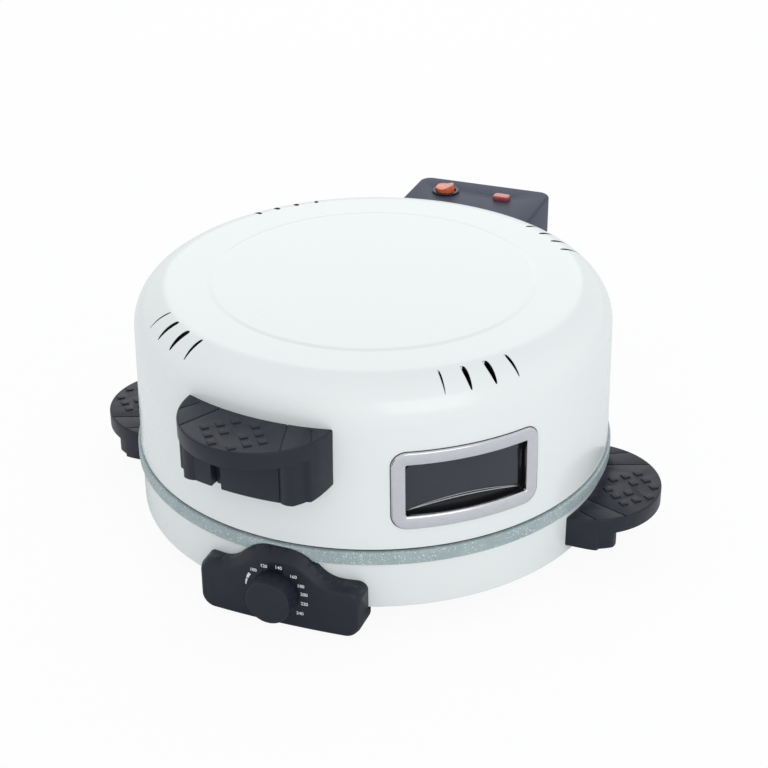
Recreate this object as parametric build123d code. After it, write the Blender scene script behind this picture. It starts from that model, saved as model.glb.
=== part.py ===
# Electric flatbread maker: a round steel lid on a shallow base, with a coated pan between them.
# Lengths are in mm. Heights are above the table and radii are about the drum's own axis.
# Azimuths are in degrees about that axis: 0 is the front (-Y), 90 the right side (+X), 180 the back.
from build123d import *
import math
import os

# Gaps and fits
part_gap = 0.3  # between pieces that move past each other
running_gap = 0.05  # radial, a shaft in its bearing
screw_gap = 0.1  # radial, round a screw's thread
sheet_gap = 1.0  # between a flange's edge and the wall outside it
join_overlap = 0.01  # between two bodies that are fused into one
pin_fit = 0.02  # radial, a pin held fast in its bracket
skin_gap = 0.3  # between the lid's wall and the window's parts behind it

# Feet and bottom plate
foot_height = 20.0
foot_radius = 15.0
foot_taper = 2.5  # how much narrower a foot is at the table
foot_circle = 152.0
foot_count = 4
foot_web = 6.0  # rubber left above a foot's screw head
foot_recess_gap = 1.0  # radial, round the screw head in its recess
bottom_plate_inset = 7.5  # plate's edge inside the base's wall
bottom_plate_thickness = 1.0
cooling_slot_count = 24
cooling_slot_length = 30.0
cooling_slot_width = 4.0
cooling_slot_circle = 110.0
plate_screw_count = 6
plate_screw_inset = 2.0  # screw head's edge inside the plate's edge

# Base shell
base_radius = 209.5
base_height = 43.2
base_wall = 1.0
base_lip = 2.0  # how far the rolled top edge stands outside the wall
base_lip_thickness = 1.4
base_lip_corner = 0.5
base_shelf_width = 9.5  # shelf that the pan's rim rests on, inwards from the wall
base_corner = 1.5
base_foot_flange = 18.0  # width of the flange that holds the bottom plate

# Baking pan
pan_rim_overhang = 3.1  # rim beyond the base's wall
pan_rim_height = 11.5
pan_wall = 2.0
pan_mouth_gap = 2.0  # mouth inside the shelf's inner edge
pan_slope = 10.0  # floor's edge inside the mouth
pan_depth = 24.0
pan_floor_thickness = 3.0
pan_floor_corner = 7.0
pan_edge = 1.6
pan_skirt_edge = 0.6

# Lower reflector and both heaters
reflector_wall = 0.8
reflector_clearance = 9.0  # reflector floor above the base's lower edge, plus the wall
reflector_draft = 2.0
reflector_gap = 0.5  # reflector inside the shelf's inner edge
reflector_corner = 8.0
heater_tube_radius = 3.25
heater_stand_off = 7.5  # tube centre from the surface behind it
lower_heater_radius = 135.0
upper_heater_radius = 128.0
heater_leg_spacing = 26.0
heater_bend_radius = 14.0
heater_leg_end = 5.0  # legs' ends outside the sheet that they pass through
heater_clip_length = 10.0
heater_clip_width = 7.0
heater_clip_azimuths = (-60.0, 0.0, 60.0, 135.0, -135.0)

# Lid
lid_overhang = 0.5  # lid's lower edge beyond the base's wall
lid_draft = 2.5  # how much narrower the wall is at the top
lid_height = 145.2
lid_shoulder = 34.0
lid_wall = 1.0
crown_radius = 139.0
crown_step = 0.8
liner_gap = 12.0
liner_wall = 0.8
liner_drop = 27.0  # liner's top below the lid's top
liner_shoulder = 22.0
upper_heater_drop = 28.0  # tube centre below the liner's top

# Vents in the lid's shoulder
vent_azimuth = 46.9
vent_groups = 4
vents_per_group = 4
vent_pitch = 6.1
vent_inset = 7.5  # outer ends inside the top of the lid's wall
vent_length = 17.0
vent_width = 4.0

# Window in the lid's wall
window_azimuth = 42.6
window_width = 106.0
window_height = 46.0
window_corner = 6.0
window_corner_growth = 0.6  # how much rounder the corners get per mm of border
window_frame_border = 11.8
window_frame_thickness = 2.6
window_centre_height = 55.0  # above the lid's lower edge
window_lip = 1.2
window_lip_depth = 4.5
window_cut_depth = 40.0  # reach of the window's cuts on either side of the wall
window_band_margin = 2.0
liner_window_gap = 2.0  # liner's opening outside the lid's
glass_thickness = 4.0
glass_border = 5.0
retainer_border = 5.0
retainer_wall = 1.0

# Handles
grip_radius = 65.3
grip_reach = 54.5  # beyond the wall
grip_plate = 3.0
grip_skirt = 14.5
grip_skirt_wall = 3.0
grip_edge = 1.6
grip_bracket_depth = 23.5
grip_corner = 12.0  # lower outer corners, seen from the front
grip_post_offset = 44.0
grip_post_radius = 12.5
grip_post_front = 32.5
grip_notch_span = (21.5, 31.5)  # beside each post, from the middle
grip_notch_height = 18.0
grip_notch_floor = 6.0  # beyond the wall
groove_width = 1.2
groove_depth = 0.8
groove_overrun = 3.0
groove_spans = ((30.0, 46.0), (50.5, 61.0))  # at the wall, at the outer edge
stud_size = 6.6
stud_height = 0.9
stud_columns = 3
stud_pitch = 8.7
stud_row_pitch = 9.05
stud_reach = 29.0  # middle of the studs, beyond the wall
lid_handle_azimuth = -5.7
lid_handle_top = 110.0  # above the lid's lower edge
lid_handle_height = 53.0
side_handle_drop = 19.0  # below the lid's lower edge
side_handle_height = 31.0
side_handle_azimuths = {"right": 90.0, "left": -90.0}

# Control panel, knob and thermostat
panel_stand_off = 9.4  # face beyond the pan's rim
panel_half_width = 68.5
panel_flare = 2.5
panel_floor_gap = 3.0
panel_end_drop = 18.7  # ends of the panel below the base's top edge
panel_dip_offset = 41.0
panel_dip = 1.0
panel_dip_bevel = 4.2
hump_half_width = 15.0
hump_flare = 4.0
hump_drop = 1.7  # hump's highest edge below the pan's top
hump_bevel = 8.5
panel_corner = 12.0
panel_top_corner = 9.0
panel_bend = 30.0
panel_wall = 2.5
panel_depth = 30.0
panel_bow_radius = 760.0
panel_edge = 4.0
panel_boss_offset = 46.0
panel_boss_radius = 5.0
knob_drop = 41.0  # knob's centre below the lid's lower edge
knob_radius = 20.0
knob_height = 17.0
knob_draft = 0.8
knob_wall = 2.2
knob_gap = 0.5
knob_edge = 1.2
knob_hub_radius = 5.5
knob_hub_gap = 1.0  # hub's end from the thermostat's nut
knob_index_angle = 215.0
knob_index_width = 1.4
knob_index_depth = 0.8
shaft_radius = 3.0
thermostat_size = (34.0, 18.0, 25.0)
thermostat_bore_share = 0.7  # depth of the shaft's bore in the body
thermostat_edge = 2.0
thermostat_gap = 0.4  # round the body where it passes the base's wall
thermostat_bush_radius = 4.5
thermostat_nut_radius = 7.5
thermostat_nut_height = 2.2
bulb_radius = 3.0
bulb_length = 42.0
bulb_inset = 4.0  # bulb's end from the reflector's wall
bulb_clip_wall = 1.2
bulb_clip_length = 8.0
bulb_clip_grip = 1.0  # clip's ends above the bulb's axis
capillary_radius = 0.9

# Hinge
hinge_setback = 23.0  # axis behind the base's wall
hinge_drop = 4.0  # axis below the lid's lower edge
hinge_pin_radius = 4.0
hinge_eye_radius = 8.5
hinge_ear_thickness = 3.0
hinge_ear_offset = 36.0
hinge_ear_gap = 0.5
hinge_ear_margin = 4.0  # strap beyond the lid's ears
hinge_ear_root = 12.0  # top of the lid's ears beyond the wall
hinge_ear_corner = 4.0
hinge_ear_bend = 8.0
ear_bury = 15.0  # how deep an ear's outline starts inside the wall that cuts it
ear_rise = 4.0  # front of the base's ears above their strap
base_ear_gap = 0.5  # behind the base's ears, inside the terminal box
base_ear_taper = 4.0
hinge_pin_overhang = 1.5
hinge_pin_lip = 2.0  # head and clip beyond the pin
hinge_head_length = 2.0
hinge_clip_thickness = 1.0
strap_thickness = 2.5
strap_screw_share = 0.55  # screws' offset as a share of the ears'
lid_strap_low = 20.0
lid_strap_high = 74.0
base_strap_inset = 5.0
lid_strap_screw_inset = 12.0
base_strap_screw_inset = 7.0
strap_screw_end = 3.0  # thread inside the wall

# Rear housing on the lid, and the terminal box under it on the base
housing_half_width = 68.5
housing_offset = 4.0  # to the right, seen from the front
housing_reach = 100.0  # beyond the lid's wall
housing_bury = 30.0  # how deep the housing's outline starts inside the lid's wall
housing_floor = 8.0  # above the lid's lower edge
housing_top = 115.0
housing_wall = 2.5
housing_corner = 12.0
housing_edge = 3.0
housing_boss_radius = 4.5
housing_boss_gap = 2.0  # between a boss and the housing's inside
box_setback = 1.5  # box's back from the hinge's axis
box_tuck = 23.0  # how far the box reaches under the base
box_boss_gap = 3.0
box_floor_gap = 8.0
box_top_drop = 4.0  # below the base's top edge
box_corner = 8.0
box_edge = 1.5
gland_offset = 44.5
gland_height = 30.0
gland_flange_radius = 9.0
gland_flange = 3.0
gland_barrel_radius = 7.0
gland_bore_radius = 4.0
gland_length = 14.0
gland_edge = 1.2
terminal_size = (38.0, 10.0, 14.0)
terminal_count = 4
terminal_bore = 2.2

# Switch and lamp on the rear housing
switch_offset = -29.0
lamp_offset = 30.0
control_reach = 67.0  # beyond the lid's wall
bezel_radius = 13.5
bezel_thickness = 1.8
bezel_edge = 0.8
bezel_barrel_radius = 12.0
bezel_bore_radius = 10.4
bezel_depth = 9.0
rocker_radius = 9.2
rocker_rise = 7.5
rocker_depth = 2.6
rocker_valley = 2.0
rocker_valley_bend = 4.0
rocker_edge = 1.2
rocker_pivot_depth = 0.4  # pivot below the housing's top face
rocker_pivot_radius = 1.0
rocker_tilt = 10.0
switch_body_width = 16.0
switch_body_depth = 12.0
switch_tab_offset = 4.0
switch_tab_size = (0.8, 6.0, 6.0)
lamp_length = 16.5
lamp_width = 10.5
lamp_corner = 3.4
lamp_rise = 4.0
lamp_edge = 1.3
lamp_flange = 1.5
lamp_barrel_depth = 12.0
lamp_holder_depth = 8.0
lamp_wall = 1.2

# Screws
thread_radius = 2.0
head_radius = 3.8
head_height = 2.2
head_edge = 0.9
recess_width = 0.9
screw_grip = 8.0

# Radii and levels that follow from the sizes above
base_shelf_radius = base_radius - base_shelf_width
bottom_plate_radius = base_radius - bottom_plate_inset
pan_rim_radius = base_radius + pan_rim_overhang
pan_mouth_radius = base_shelf_radius - pan_mouth_gap
pan_floor_radius = pan_mouth_radius - pan_slope
lid_radius = base_radius + lid_overhang
vent_outer_radius = lid_radius - lid_draft - vent_inset
base_bottom = foot_height + bottom_plate_thickness
base_top = base_bottom + base_height
pan_top = base_top + pan_rim_height
seam = pan_top + part_gap
lid_top = seam + lid_height
liner_radius = lid_radius - lid_wall - liner_gap
liner_top = lid_top - liner_drop
reflector_radius = base_shelf_radius - reflector_gap
reflector_floor = base_bottom + base_wall + reflector_clearance + reflector_wall
lower_heater_height = reflector_floor + reflector_wall + heater_stand_off
upper_heater_height = liner_top - upper_heater_drop
panel_face = pan_rim_radius + panel_stand_off
knob_centre = seam - knob_drop
hinge_reach = base_radius + hinge_setback
hinge_height = seam - hinge_drop
housing_bottom_height = seam + housing_floor
housing_top_height = seam + housing_top
housing_back = lid_radius + housing_reach
control_centre = lid_radius + control_reach
box_top_height = base_top - box_top_drop
box_back = hinge_reach - box_setback

parts = {}


def lid_wall_radius(height):
    """Outer radius of the lid's tapered wall at a height."""
    return lid_radius - lid_draft * (height - seam) / lid_height


def outline(corners):
    """A closed face through corners given as (x, y, corner radius)."""
    points = [(x, y) for x, y, _ in corners]
    return make_face(FilletPolyline(*points, radius=[corner for _, _, corner in corners], close=True))


def turned(corners):
    """A solid turned about the drum's axis, from (radius, height, corner radius)."""
    return revolve(Plane.XZ * outline(corners), Axis.Z)


def disc(radius, low, high):
    """A round slab about the drum's axis."""
    return Pos(0, 0, (low + high) / 2) * Cylinder(radius, high - low)


def facing(azimuth, height, reach=0.0):
    """A plane square to a radius, seen from outside: x to the right, y up, z outwards."""
    angle = math.radians(azimuth)
    out = Vector(math.sin(angle), -math.cos(angle), 0)
    across = Vector(math.cos(angle), math.sin(angle), 0)
    return Plane(origin=out * reach + Vector(0, 0, height), x_dir=across, z_dir=out)


def around(shape, azimuth):
    """The same shape turned about the drum's axis."""
    return Rot(0, 0, azimuth) * shape


def block(x_span, y_span, z_span):
    """A box between two limits along each axis."""
    spans = (x_span, y_span, z_span)
    centre = [(low + high) / 2 for low, high in spans]
    return Pos(*centre) * Box(*[high - low for low, high in spans])


def rod(radius, start, end):
    """A round bar between two points."""
    start = Vector(*start)
    run = Vector(*end) - start
    return extrude(Plane(origin=start, z_dir=run.normalized()) * Circle(radius), run.length)


def screw(seat, length):
    """A cross-head screw whose head stands on the seat plane and whose thread runs behind it."""
    head = Pos(0, 0, head_height / 2) * Cylinder(head_radius, head_height)
    head = fillet(head.edges().group_by(Axis.Z)[-1], head_edge)
    for turn in (0, 90):
        slot = Pos(0, 0, head_height) * Rot(0, 0, turn) * Box(head_radius, recess_width, head_height)
        head -= slot
    thread = Pos(0, 0, -length / 2) * Cylinder(thread_radius, length)
    return seat * (head + thread)


def screw_hole(seat, length):
    """The hole that a screw's thread passes through."""
    reach = length + screw_gap
    return seat * (Pos(0, 0, -reach / 2) * Cylinder(thread_radius + screw_gap, reach))


def heater(radius, height, leg_end):
    """A tubular heater: an open ring whose two ends turn outwards at the back."""
    side = heater_leg_spacing / 2
    bend_x = side + heater_bend_radius
    bend_y = math.sqrt((radius + heater_bend_radius) ** 2 - bend_x**2)
    touch = radius / (radius + heater_bend_radius)
    join = (bend_x * touch, bend_y * touch)
    start_angle = math.pi
    end_angle = math.atan2(join[1] - bend_y, join[0] - bend_x) + 2 * math.pi
    middle = (start_angle + end_angle) / 2
    knee = (bend_x + heater_bend_radius * math.cos(middle), bend_y + heater_bend_radius * math.sin(middle))
    path = Wire(
        [
            Edge.make_line((side, leg_end), (side, bend_y)),
            Edge.make_three_point_arc((side, bend_y), knee, join),
            Edge.make_three_point_arc(join, (0, -radius), (-join[0], join[1])),
            Edge.make_three_point_arc((-join[0], join[1]), (-knee[0], knee[1]), (-side, bend_y)),
            Edge.make_line((-side, bend_y), (-side, leg_end)),
        ]
    )
    section = Plane(origin=path @ 0, z_dir=path % 0) * Circle(heater_tube_radius)
    return Pos(0, 0, height) * sweep(section, path=path)


def heater_clips(ring_radius, tube, seat_height, tube_height):
    """Saddles between a heater's ring and the sheet that carries it."""
    low, high = sorted((seat_height, tube_height))
    half_length = heater_clip_length / 2
    half_width = heater_clip_width / 2
    clips = []
    for azimuth in heater_clip_azimuths:
        saddle = block(
            (-half_width, half_width), (-ring_radius - half_length, -ring_radius + half_length), (low, high)
        )
        clips.append(around(saddle, azimuth) - tube)
    return clips


# Base


def make_bottom_plate():
    slots = []
    slot = Pos(0, -cooling_slot_circle, foot_height + bottom_plate_thickness / 2) * extrude(
        Rot(0, 0, 90) * SlotOverall(cooling_slot_length, cooling_slot_width),
        bottom_plate_thickness,
        both=True,
    )
    for index in range(cooling_slot_count):
        slots.append(around(slot, 360 * index / cooling_slot_count))
    plate = disc(bottom_plate_radius, foot_height, base_bottom)
    return plate - slots


def bottom_screw_seats():
    """Screws through the bottom plate's edge into the base's lower flange."""
    circle = bottom_plate_radius - head_radius - plate_screw_inset
    angles = [360.0 * (index + 0.5) / plate_screw_count for index in range(plate_screw_count)]
    return [around(Pos(0, -circle, foot_height) * Rot(180, 0, 0), angle) for angle in angles]


def foot_seats():
    angles = [360.0 * (index + 0.5) / foot_count for index in range(foot_count)]
    return [around(Pos(0, -foot_circle, 0), angle) for angle in angles]


def make_feet():
    """Tapered feet, each with a deep round recess for its screw."""
    foot = Pos(0, 0, foot_height / 2) * Cone(foot_radius - foot_taper, foot_radius, foot_height)
    foot = fillet(foot.edges().group_by(Axis.Z)[0], foot_taper / 2)
    recess_top = foot_height - foot_web
    recess = Pos(0, 0, recess_top / 2) * Cylinder(head_radius + foot_recess_gap, recess_top)
    hole = Pos(0, 0, foot_height / 2) * Cylinder(thread_radius + screw_gap, foot_height)
    feet = [seat * (foot - recess - hole) for seat in foot_seats()]
    seats = [seat * Pos(0, 0, recess_top) * Rot(180, 0, 0) for seat in foot_seats()]
    return feet, seats


def base_pocket():
    """The place in the base's wall that the thermostat reaches through."""
    half_width = thermostat_size[0] / 2 + thermostat_gap
    half_height = thermostat_size[2] / 2 + thermostat_gap
    return block(
        (-half_width, half_width),
        (-base_radius - base_lip, -base_radius + base_foot_flange),
        (knob_centre - half_height, knob_centre + half_height),
    )


def make_base_shell():
    lip_low = base_top - base_lip_thickness
    inner = base_radius - base_wall
    flange = base_radius - base_foot_flange
    shell = turned(
        [
            (flange, base_bottom, 0),
            (base_radius, base_bottom, base_corner),
            (base_radius, lip_low, 0),
            (base_radius + base_lip, lip_low, base_lip_corner),
            (base_radius + base_lip, base_top, base_lip_corner),
            (base_shelf_radius, base_top, 0),
            (base_shelf_radius, lip_low, 0),
            (inner, lip_low, 0),
            (inner, base_bottom + base_wall, base_corner - base_wall),
            (flange, base_bottom + base_wall, 0),
        ]
    )
    return shell - base_pocket()


def make_reflector():
    shelf_low = base_top - base_lip_thickness
    top = shelf_low - reflector_wall
    foot = reflector_radius - reflector_draft
    edge = base_radius - base_wall - sheet_gap
    return turned(
        [
            (0, reflector_floor, 0),
            (foot, reflector_floor, reflector_corner),
            (reflector_radius, top, 0),
            (edge, top, 0),
            (edge, shelf_low, 0),
            (reflector_radius - reflector_wall, shelf_low, 0),
            (foot - reflector_wall, reflector_floor + reflector_wall, reflector_corner - reflector_wall),
            (0, reflector_floor + reflector_wall, 0),
        ]
    )


def make_pan():
    floor_top = pan_top - pan_depth
    floor_low = floor_top - pan_floor_thickness
    return turned(
        [
            (0, floor_low, 0),
            (pan_floor_radius + pan_wall, floor_low, pan_floor_corner - pan_wall),
            (pan_mouth_radius + pan_wall, pan_top - pan_wall, 0),
            (pan_rim_radius - pan_wall, pan_top - pan_wall, 0),
            (pan_rim_radius - pan_wall, base_top, 0),
            (pan_rim_radius, base_top, pan_skirt_edge),
            (pan_rim_radius, pan_top, pan_edge),
            (pan_mouth_radius, pan_top, pan_edge),
            (pan_floor_radius, floor_top, pan_floor_corner),
            (0, floor_top, 0),
        ]
    )


# Handles


def stud_places():
    """Two triangles of studs, mirrored about the grip's centre line."""
    places = []
    for column in range(stud_columns):
        rows = stud_columns - column
        for row in range(rows):
            across = (column + 1) * stud_pitch
            along = (2 * row + 1 - rows) * stud_row_pitch
            places += [(across, along), (-across, along)]
    return places


def make_grip(wall_cut, wall_radius, top, height):
    """A handle at the front: half-round plate with a skirt, on a bracket that follows the wall."""
    front = wall_radius + grip_reach
    centre = grip_radius - front
    bottom = top - height
    plate_low = top - grip_plate
    cap = Pos(0, centre, top - grip_skirt / 2) * Cylinder(grip_radius, grip_skirt)
    cap = fillet(cap.edges().group_by(Axis.Z)[-1], grip_edge)
    hollow_radius = grip_radius - grip_skirt_wall
    hollow_height = grip_skirt - grip_plate
    cap -= wall_cut
    cap -= Pos(0, centre, plate_low - hollow_height / 2) * Cylinder(hollow_radius, hollow_height)
    middle = (bottom + plate_low) / 2
    body_height = plate_low - bottom
    bracket = Pos(0, 0, middle) * Cylinder(wall_radius + grip_bracket_depth, body_height)
    bracket &= Pos(0, centre, middle) * Cylinder(grip_radius, body_height)
    bracket -= wall_cut
    post_reach = wall_radius + grip_post_front - grip_post_radius
    post_angle = math.degrees(math.asin(grip_post_offset / post_reach))
    post = Pos(0, -post_reach, middle) * Cylinder(grip_post_radius, body_height)
    within = Pos(0, centre, middle) * Cylinder(hollow_radius, body_height)
    for side in (-1, 1):
        bracket += (around(post, side * post_angle) & within) - wall_cut
    half_width = grip_radius + grip_skirt_wall
    front_view = outline([
        (-half_width, top, 0), (-half_width, bottom, grip_corner),
        (half_width, bottom, grip_corner), (half_width, top, 0),
    ])
    bracket &= extrude(Plane.XZ * front_view, front)
    near, far = grip_notch_span
    notch_depth = (-front, -wall_radius - grip_notch_floor)
    notch_height = (bottom, bottom + grip_notch_height)
    for span in ((near, far), (-far, -near)):
        bracket -= block(span, notch_depth, notch_height)
    grip = cap + bracket
    for at_wall, at_edge in groove_spans:
        edge_reach = math.sqrt(grip_radius**2 - at_edge**2) - centre + groove_overrun
        for side in (-1, 1):
            start = Vector(side * at_wall, groove_overrun - wall_radius)
            end = Vector(side * at_edge, -edge_reach)
            middle = (start + end) / 2
            run = end - start
            heading = math.degrees(math.atan2(run.Y, run.X))
            groove = Box(run.length, groove_width, 2 * groove_depth)
            grip -= Pos(middle.X, middle.Y, top) * Rot(0, 0, heading) * groove
    stud = Rot(0, 0, 45) * Box(stud_size, stud_size, 2 * stud_height)
    return grip + [Pos(x, y - wall_radius - stud_reach, top) * stud for x, y in stud_places()]


def seat_reach(wall_inner):
    """Where a flat screw head touches the inside of a round wall."""
    return math.sqrt(wall_inner**2 - head_radius**2)


def grip_screw_seats(wall_inner, azimuth, height):
    """Seats inside a wall for the two screws that hold a grip's posts."""
    spread = math.degrees(math.asin(grip_post_offset / wall_inner))
    seats = []
    for side in (-1, 1):
        plane = facing(azimuth + side * spread, height, seat_reach(wall_inner))
        seats.append(Plane(origin=plane.origin, x_dir=plane.x_dir, z_dir=-plane.z_dir))
    return seats


# Control panel


def panel_outline(half_width, end_top, dip_offset, dip_top, hump_half, hump_top, inset=0.0):
    """The panel's outline seen from the front, mirrored about its middle."""
    slope = math.atan2(hump_top - dip_top, dip_offset - hump_half)
    lean = inset * math.tan(slope / 2)
    right = [
        (half_width - inset, panel_floor_gap + inset, panel_corner - inset),
        (half_width - inset, end_top - inset, panel_top_corner - inset),
        (dip_offset - lean, dip_top - inset, panel_bend),
        (hump_half - lean, hump_top - inset, panel_bend - inset),
    ]
    left = [(-x, y, corner) for x, y, corner in reversed(right)]
    return outline(right + left)


def panel_form(inset=0.0):
    """The panel's solid: a lofted front half and a straight back half."""
    end_top = base_top - panel_end_drop
    hump_back = pan_top - hump_drop
    front = panel_outline(
        panel_half_width, end_top, panel_dip_offset, end_top - panel_dip,
        hump_half_width, hump_back - hump_bevel, inset,
    )
    back = panel_outline(
        panel_half_width + panel_flare, end_top + panel_flare / 2, panel_dip_offset + panel_flare,
        end_top + panel_dip_bevel, hump_half_width + hump_flare, hump_back, inset,
    )
    face_plane = facing(0, 0, panel_face - inset)
    back_reach = pan_rim_radius + part_gap
    back_plane = facing(0, 0, back_reach)
    nose = loft([face_plane * front, back_plane * back], ruled=True)
    tail = extrude(back_plane * back, -(panel_depth - (panel_face - back_reach) - inset))
    bow_centre = panel_bow_radius - panel_face + inset
    bow = Pos(0, bow_centre, lid_top / 2) * Cylinder(panel_bow_radius, lid_top)
    form = (nose + tail) & bow
    if inset == 0:
        form = fillet(form.faces().sort_by(Axis.Y)[0].edges(), panel_edge)
    return form


def make_control_panel():
    form = panel_form()
    shell = form - panel_form(panel_wall)
    boss_front = panel_face - panel_wall
    for side in (-1, 1):
        x = side * panel_boss_offset
        boss_back = base_radius - base_foot_flange
        boss = rod(panel_boss_radius, (x, -boss_front, knob_centre), (x, -boss_back, knob_centre))
        shell += boss & form
    drum = disc(base_radius, foot_height, base_top) + disc(
        base_radius + base_lip, base_top - base_lip_thickness, base_top
    )
    rim = disc(pan_rim_radius + part_gap, base_top, lid_top)
    face_hole = rod(
        thermostat_bush_radius + screw_gap,
        (0, -panel_face - panel_wall, knob_centre),
        (0, -panel_face + 2 * panel_wall, knob_centre),
    )
    return shell - drum - rim - face_hole


def panel_screw_seats():
    seats = []
    for side in (-1, 1):
        reach = math.sqrt((base_radius - base_wall) ** 2 - (panel_boss_offset + head_radius) ** 2)
        origin = Vector(side * panel_boss_offset, -reach, knob_centre)
        seats.append(Plane(origin=origin, x_dir=(1, 0, 0), z_dir=(0, 1, 0)))
    return seats


def thermostat_front():
    """Reach of the thermostat's flat front, where it touches the panel's bowed inside."""
    half_width = thermostat_size[0] / 2
    inner_bow = panel_bow_radius - panel_wall
    sag = inner_bow - math.sqrt(inner_bow**2 - half_width**2)
    return panel_face - panel_wall - sag


def make_thermostat():
    width, depth, height = thermostat_size
    front = thermostat_front()
    levels = (knob_centre - height / 2, knob_centre + height / 2)
    body = block((-width / 2, width / 2), (-front, -front + depth), levels)
    body = fillet(body.edges().filter_by(Axis.Y), thermostat_edge)
    nose = panel_face + thermostat_nut_height
    body += rod(thermostat_bush_radius, (0, -front, knob_centre), (0, -nose, knob_centre))
    bore_end = front - depth * thermostat_bore_share
    bore = rod(shaft_radius + running_gap, (0, -nose, knob_centre), (0, -bore_end, knob_centre))
    return body - bore


def make_thermostat_nut():
    plane = facing(0, knob_centre, panel_face)
    nut = extrude(plane * RegularPolygon(thermostat_nut_radius, 6), thermostat_nut_height)
    return nut - extrude(plane * Circle(thermostat_bush_radius), thermostat_nut_height)


def make_bulb():
    """The thermostat's sensing bulb, with the thin tube that leads to it."""
    body_back = thermostat_front() - thermostat_size[1]
    bulb_start = reflector_radius - reflector_draft - reflector_wall - bulb_inset
    level = lower_heater_height
    bulb = rod(bulb_radius, (0, -bulb_start, level), (0, -bulb_start + bulb_length, level))
    tube = rod(capillary_radius, (0, -body_back, level), (0, -bulb_start, level))
    return bulb + tube, bulb_start


def make_bulb_clip(bulb, bulb_start):
    middle = -bulb_start + bulb_length / 2
    base = reflector_floor + reflector_wall
    half_width = bulb_radius + bulb_clip_wall
    half_length = bulb_clip_length / 2
    top = lower_heater_height + bulb_clip_grip
    saddle = block((-half_width, half_width), (middle - half_length, middle + half_length), (base, top))
    return saddle - bulb


def make_shaft():
    inner_end = thermostat_front() - thermostat_size[1] * thermostat_bore_share + part_gap
    outer_end = knob_back() + knob_height - knob_wall
    return rod(shaft_radius, (0, -inner_end, knob_centre), (0, -outer_end, knob_centre))


def knob_back():
    """Reach of the knob's rear edge from the drum's axis."""
    return panel_face + knob_gap


def make_knob():
    """A cup with a hub, turned about the shaft, with an index groove down its side."""
    back = knob_back()
    plane = facing(0, knob_centre, back)
    body = Cone(
        knob_radius, knob_radius - knob_draft, knob_height, align=(Align.CENTER, Align.CENTER, Align.MIN)
    )
    body = fillet(body.edges().group_by(Axis.Z)[-1], knob_edge)
    cup_depth = knob_height - knob_wall
    cup = Pos(0, 0, cup_depth / 2) * Cylinder(knob_radius - knob_draft - knob_wall, cup_depth)
    hub_low = thermostat_nut_height + knob_hub_gap
    hub_height = knob_height - hub_low
    hub = Pos(0, 0, hub_low + hub_height / 2) * Cylinder(knob_hub_radius, hub_height)
    bore = Pos(0, 0, cup_depth / 2) * Cylinder(shaft_radius, cup_depth)
    index = Box(2 * knob_index_depth, knob_index_width, knob_height)
    index = Rot(0, 0, knob_index_angle) * Pos(knob_radius, 0, knob_height / 2) * index
    hub &= Pos(0, 0, knob_height / 2) * Cylinder(knob_radius - knob_draft - knob_wall, knob_height)
    return plane * ((body - cup) + (hub & body) - bore - index)


# Lid


def lid_form(inset=0.0):
    """The lid as a filled solid, its surface moved inwards by an inset."""
    return turned(
        [
            (0, seam, 0),
            (lid_radius - inset, seam, 0),
            (lid_wall_radius(lid_top - inset) - inset, lid_top - inset, lid_shoulder - inset),
            (0, lid_top - inset, 0),
        ]
    )


def wall_band(inner, outer, low, high):
    """A ring that follows the lid's tapered wall between two distances outside it."""
    return turned(
        [
            (lid_wall_radius(low) + inner, low, 0),
            (lid_wall_radius(low) + outer, low, 0),
            (lid_wall_radius(high) + outer, high, 0),
            (lid_wall_radius(high) + inner, high, 0),
        ]
    )


def window_prism(border):
    """A rounded block through the lid's wall, wider than the window's opening by a border."""
    plane = facing(window_azimuth, seam + window_centre_height, lid_radius - window_cut_depth)
    corner = window_corner + border * window_corner_growth
    shape = RectangleRounded(window_width + 2 * border, window_height + 2 * border, corner)
    return extrude(plane * shape, 2 * window_cut_depth)


def window_ring(inner, outer, inner_border, outer_border):
    """A frame-shaped piece on the lid's wall between two borders round the window."""
    reach = window_height / 2 + outer_border + window_band_margin
    centre = seam + window_centre_height
    band = wall_band(inner, outer, centre - reach, centre + reach)
    return (band & window_prism(outer_border)) - window_prism(inner_border)


def make_window():
    lip_end = -lid_wall - window_lip_depth
    glass_back = lip_end - glass_thickness
    frame = window_ring(0, window_frame_thickness, 0, window_frame_border)
    frame += window_ring(lip_end, join_overlap, 0, window_lip)
    skin = -lid_wall - skin_gap
    gasket = window_ring(lip_end, skin, window_lip, glass_border)
    glass_reach = window_height / 2 + glass_border + window_band_margin
    centre = seam + window_centre_height
    glass = wall_band(glass_back, lip_end, centre - glass_reach, centre + glass_reach)
    glass &= window_prism(glass_border)
    tray = window_ring(glass_back - retainer_wall, skin, window_lip, glass_border + retainer_border)
    tray -= window_ring(glass_back, skin, window_lip, glass_border)
    tray -= window_ring(
        glass_back - 2 * retainer_wall, -lid_wall - retainer_wall,
        glass_border + retainer_wall, 3 * retainer_border,
    )
    return frame, gasket, glass, tray


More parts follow.
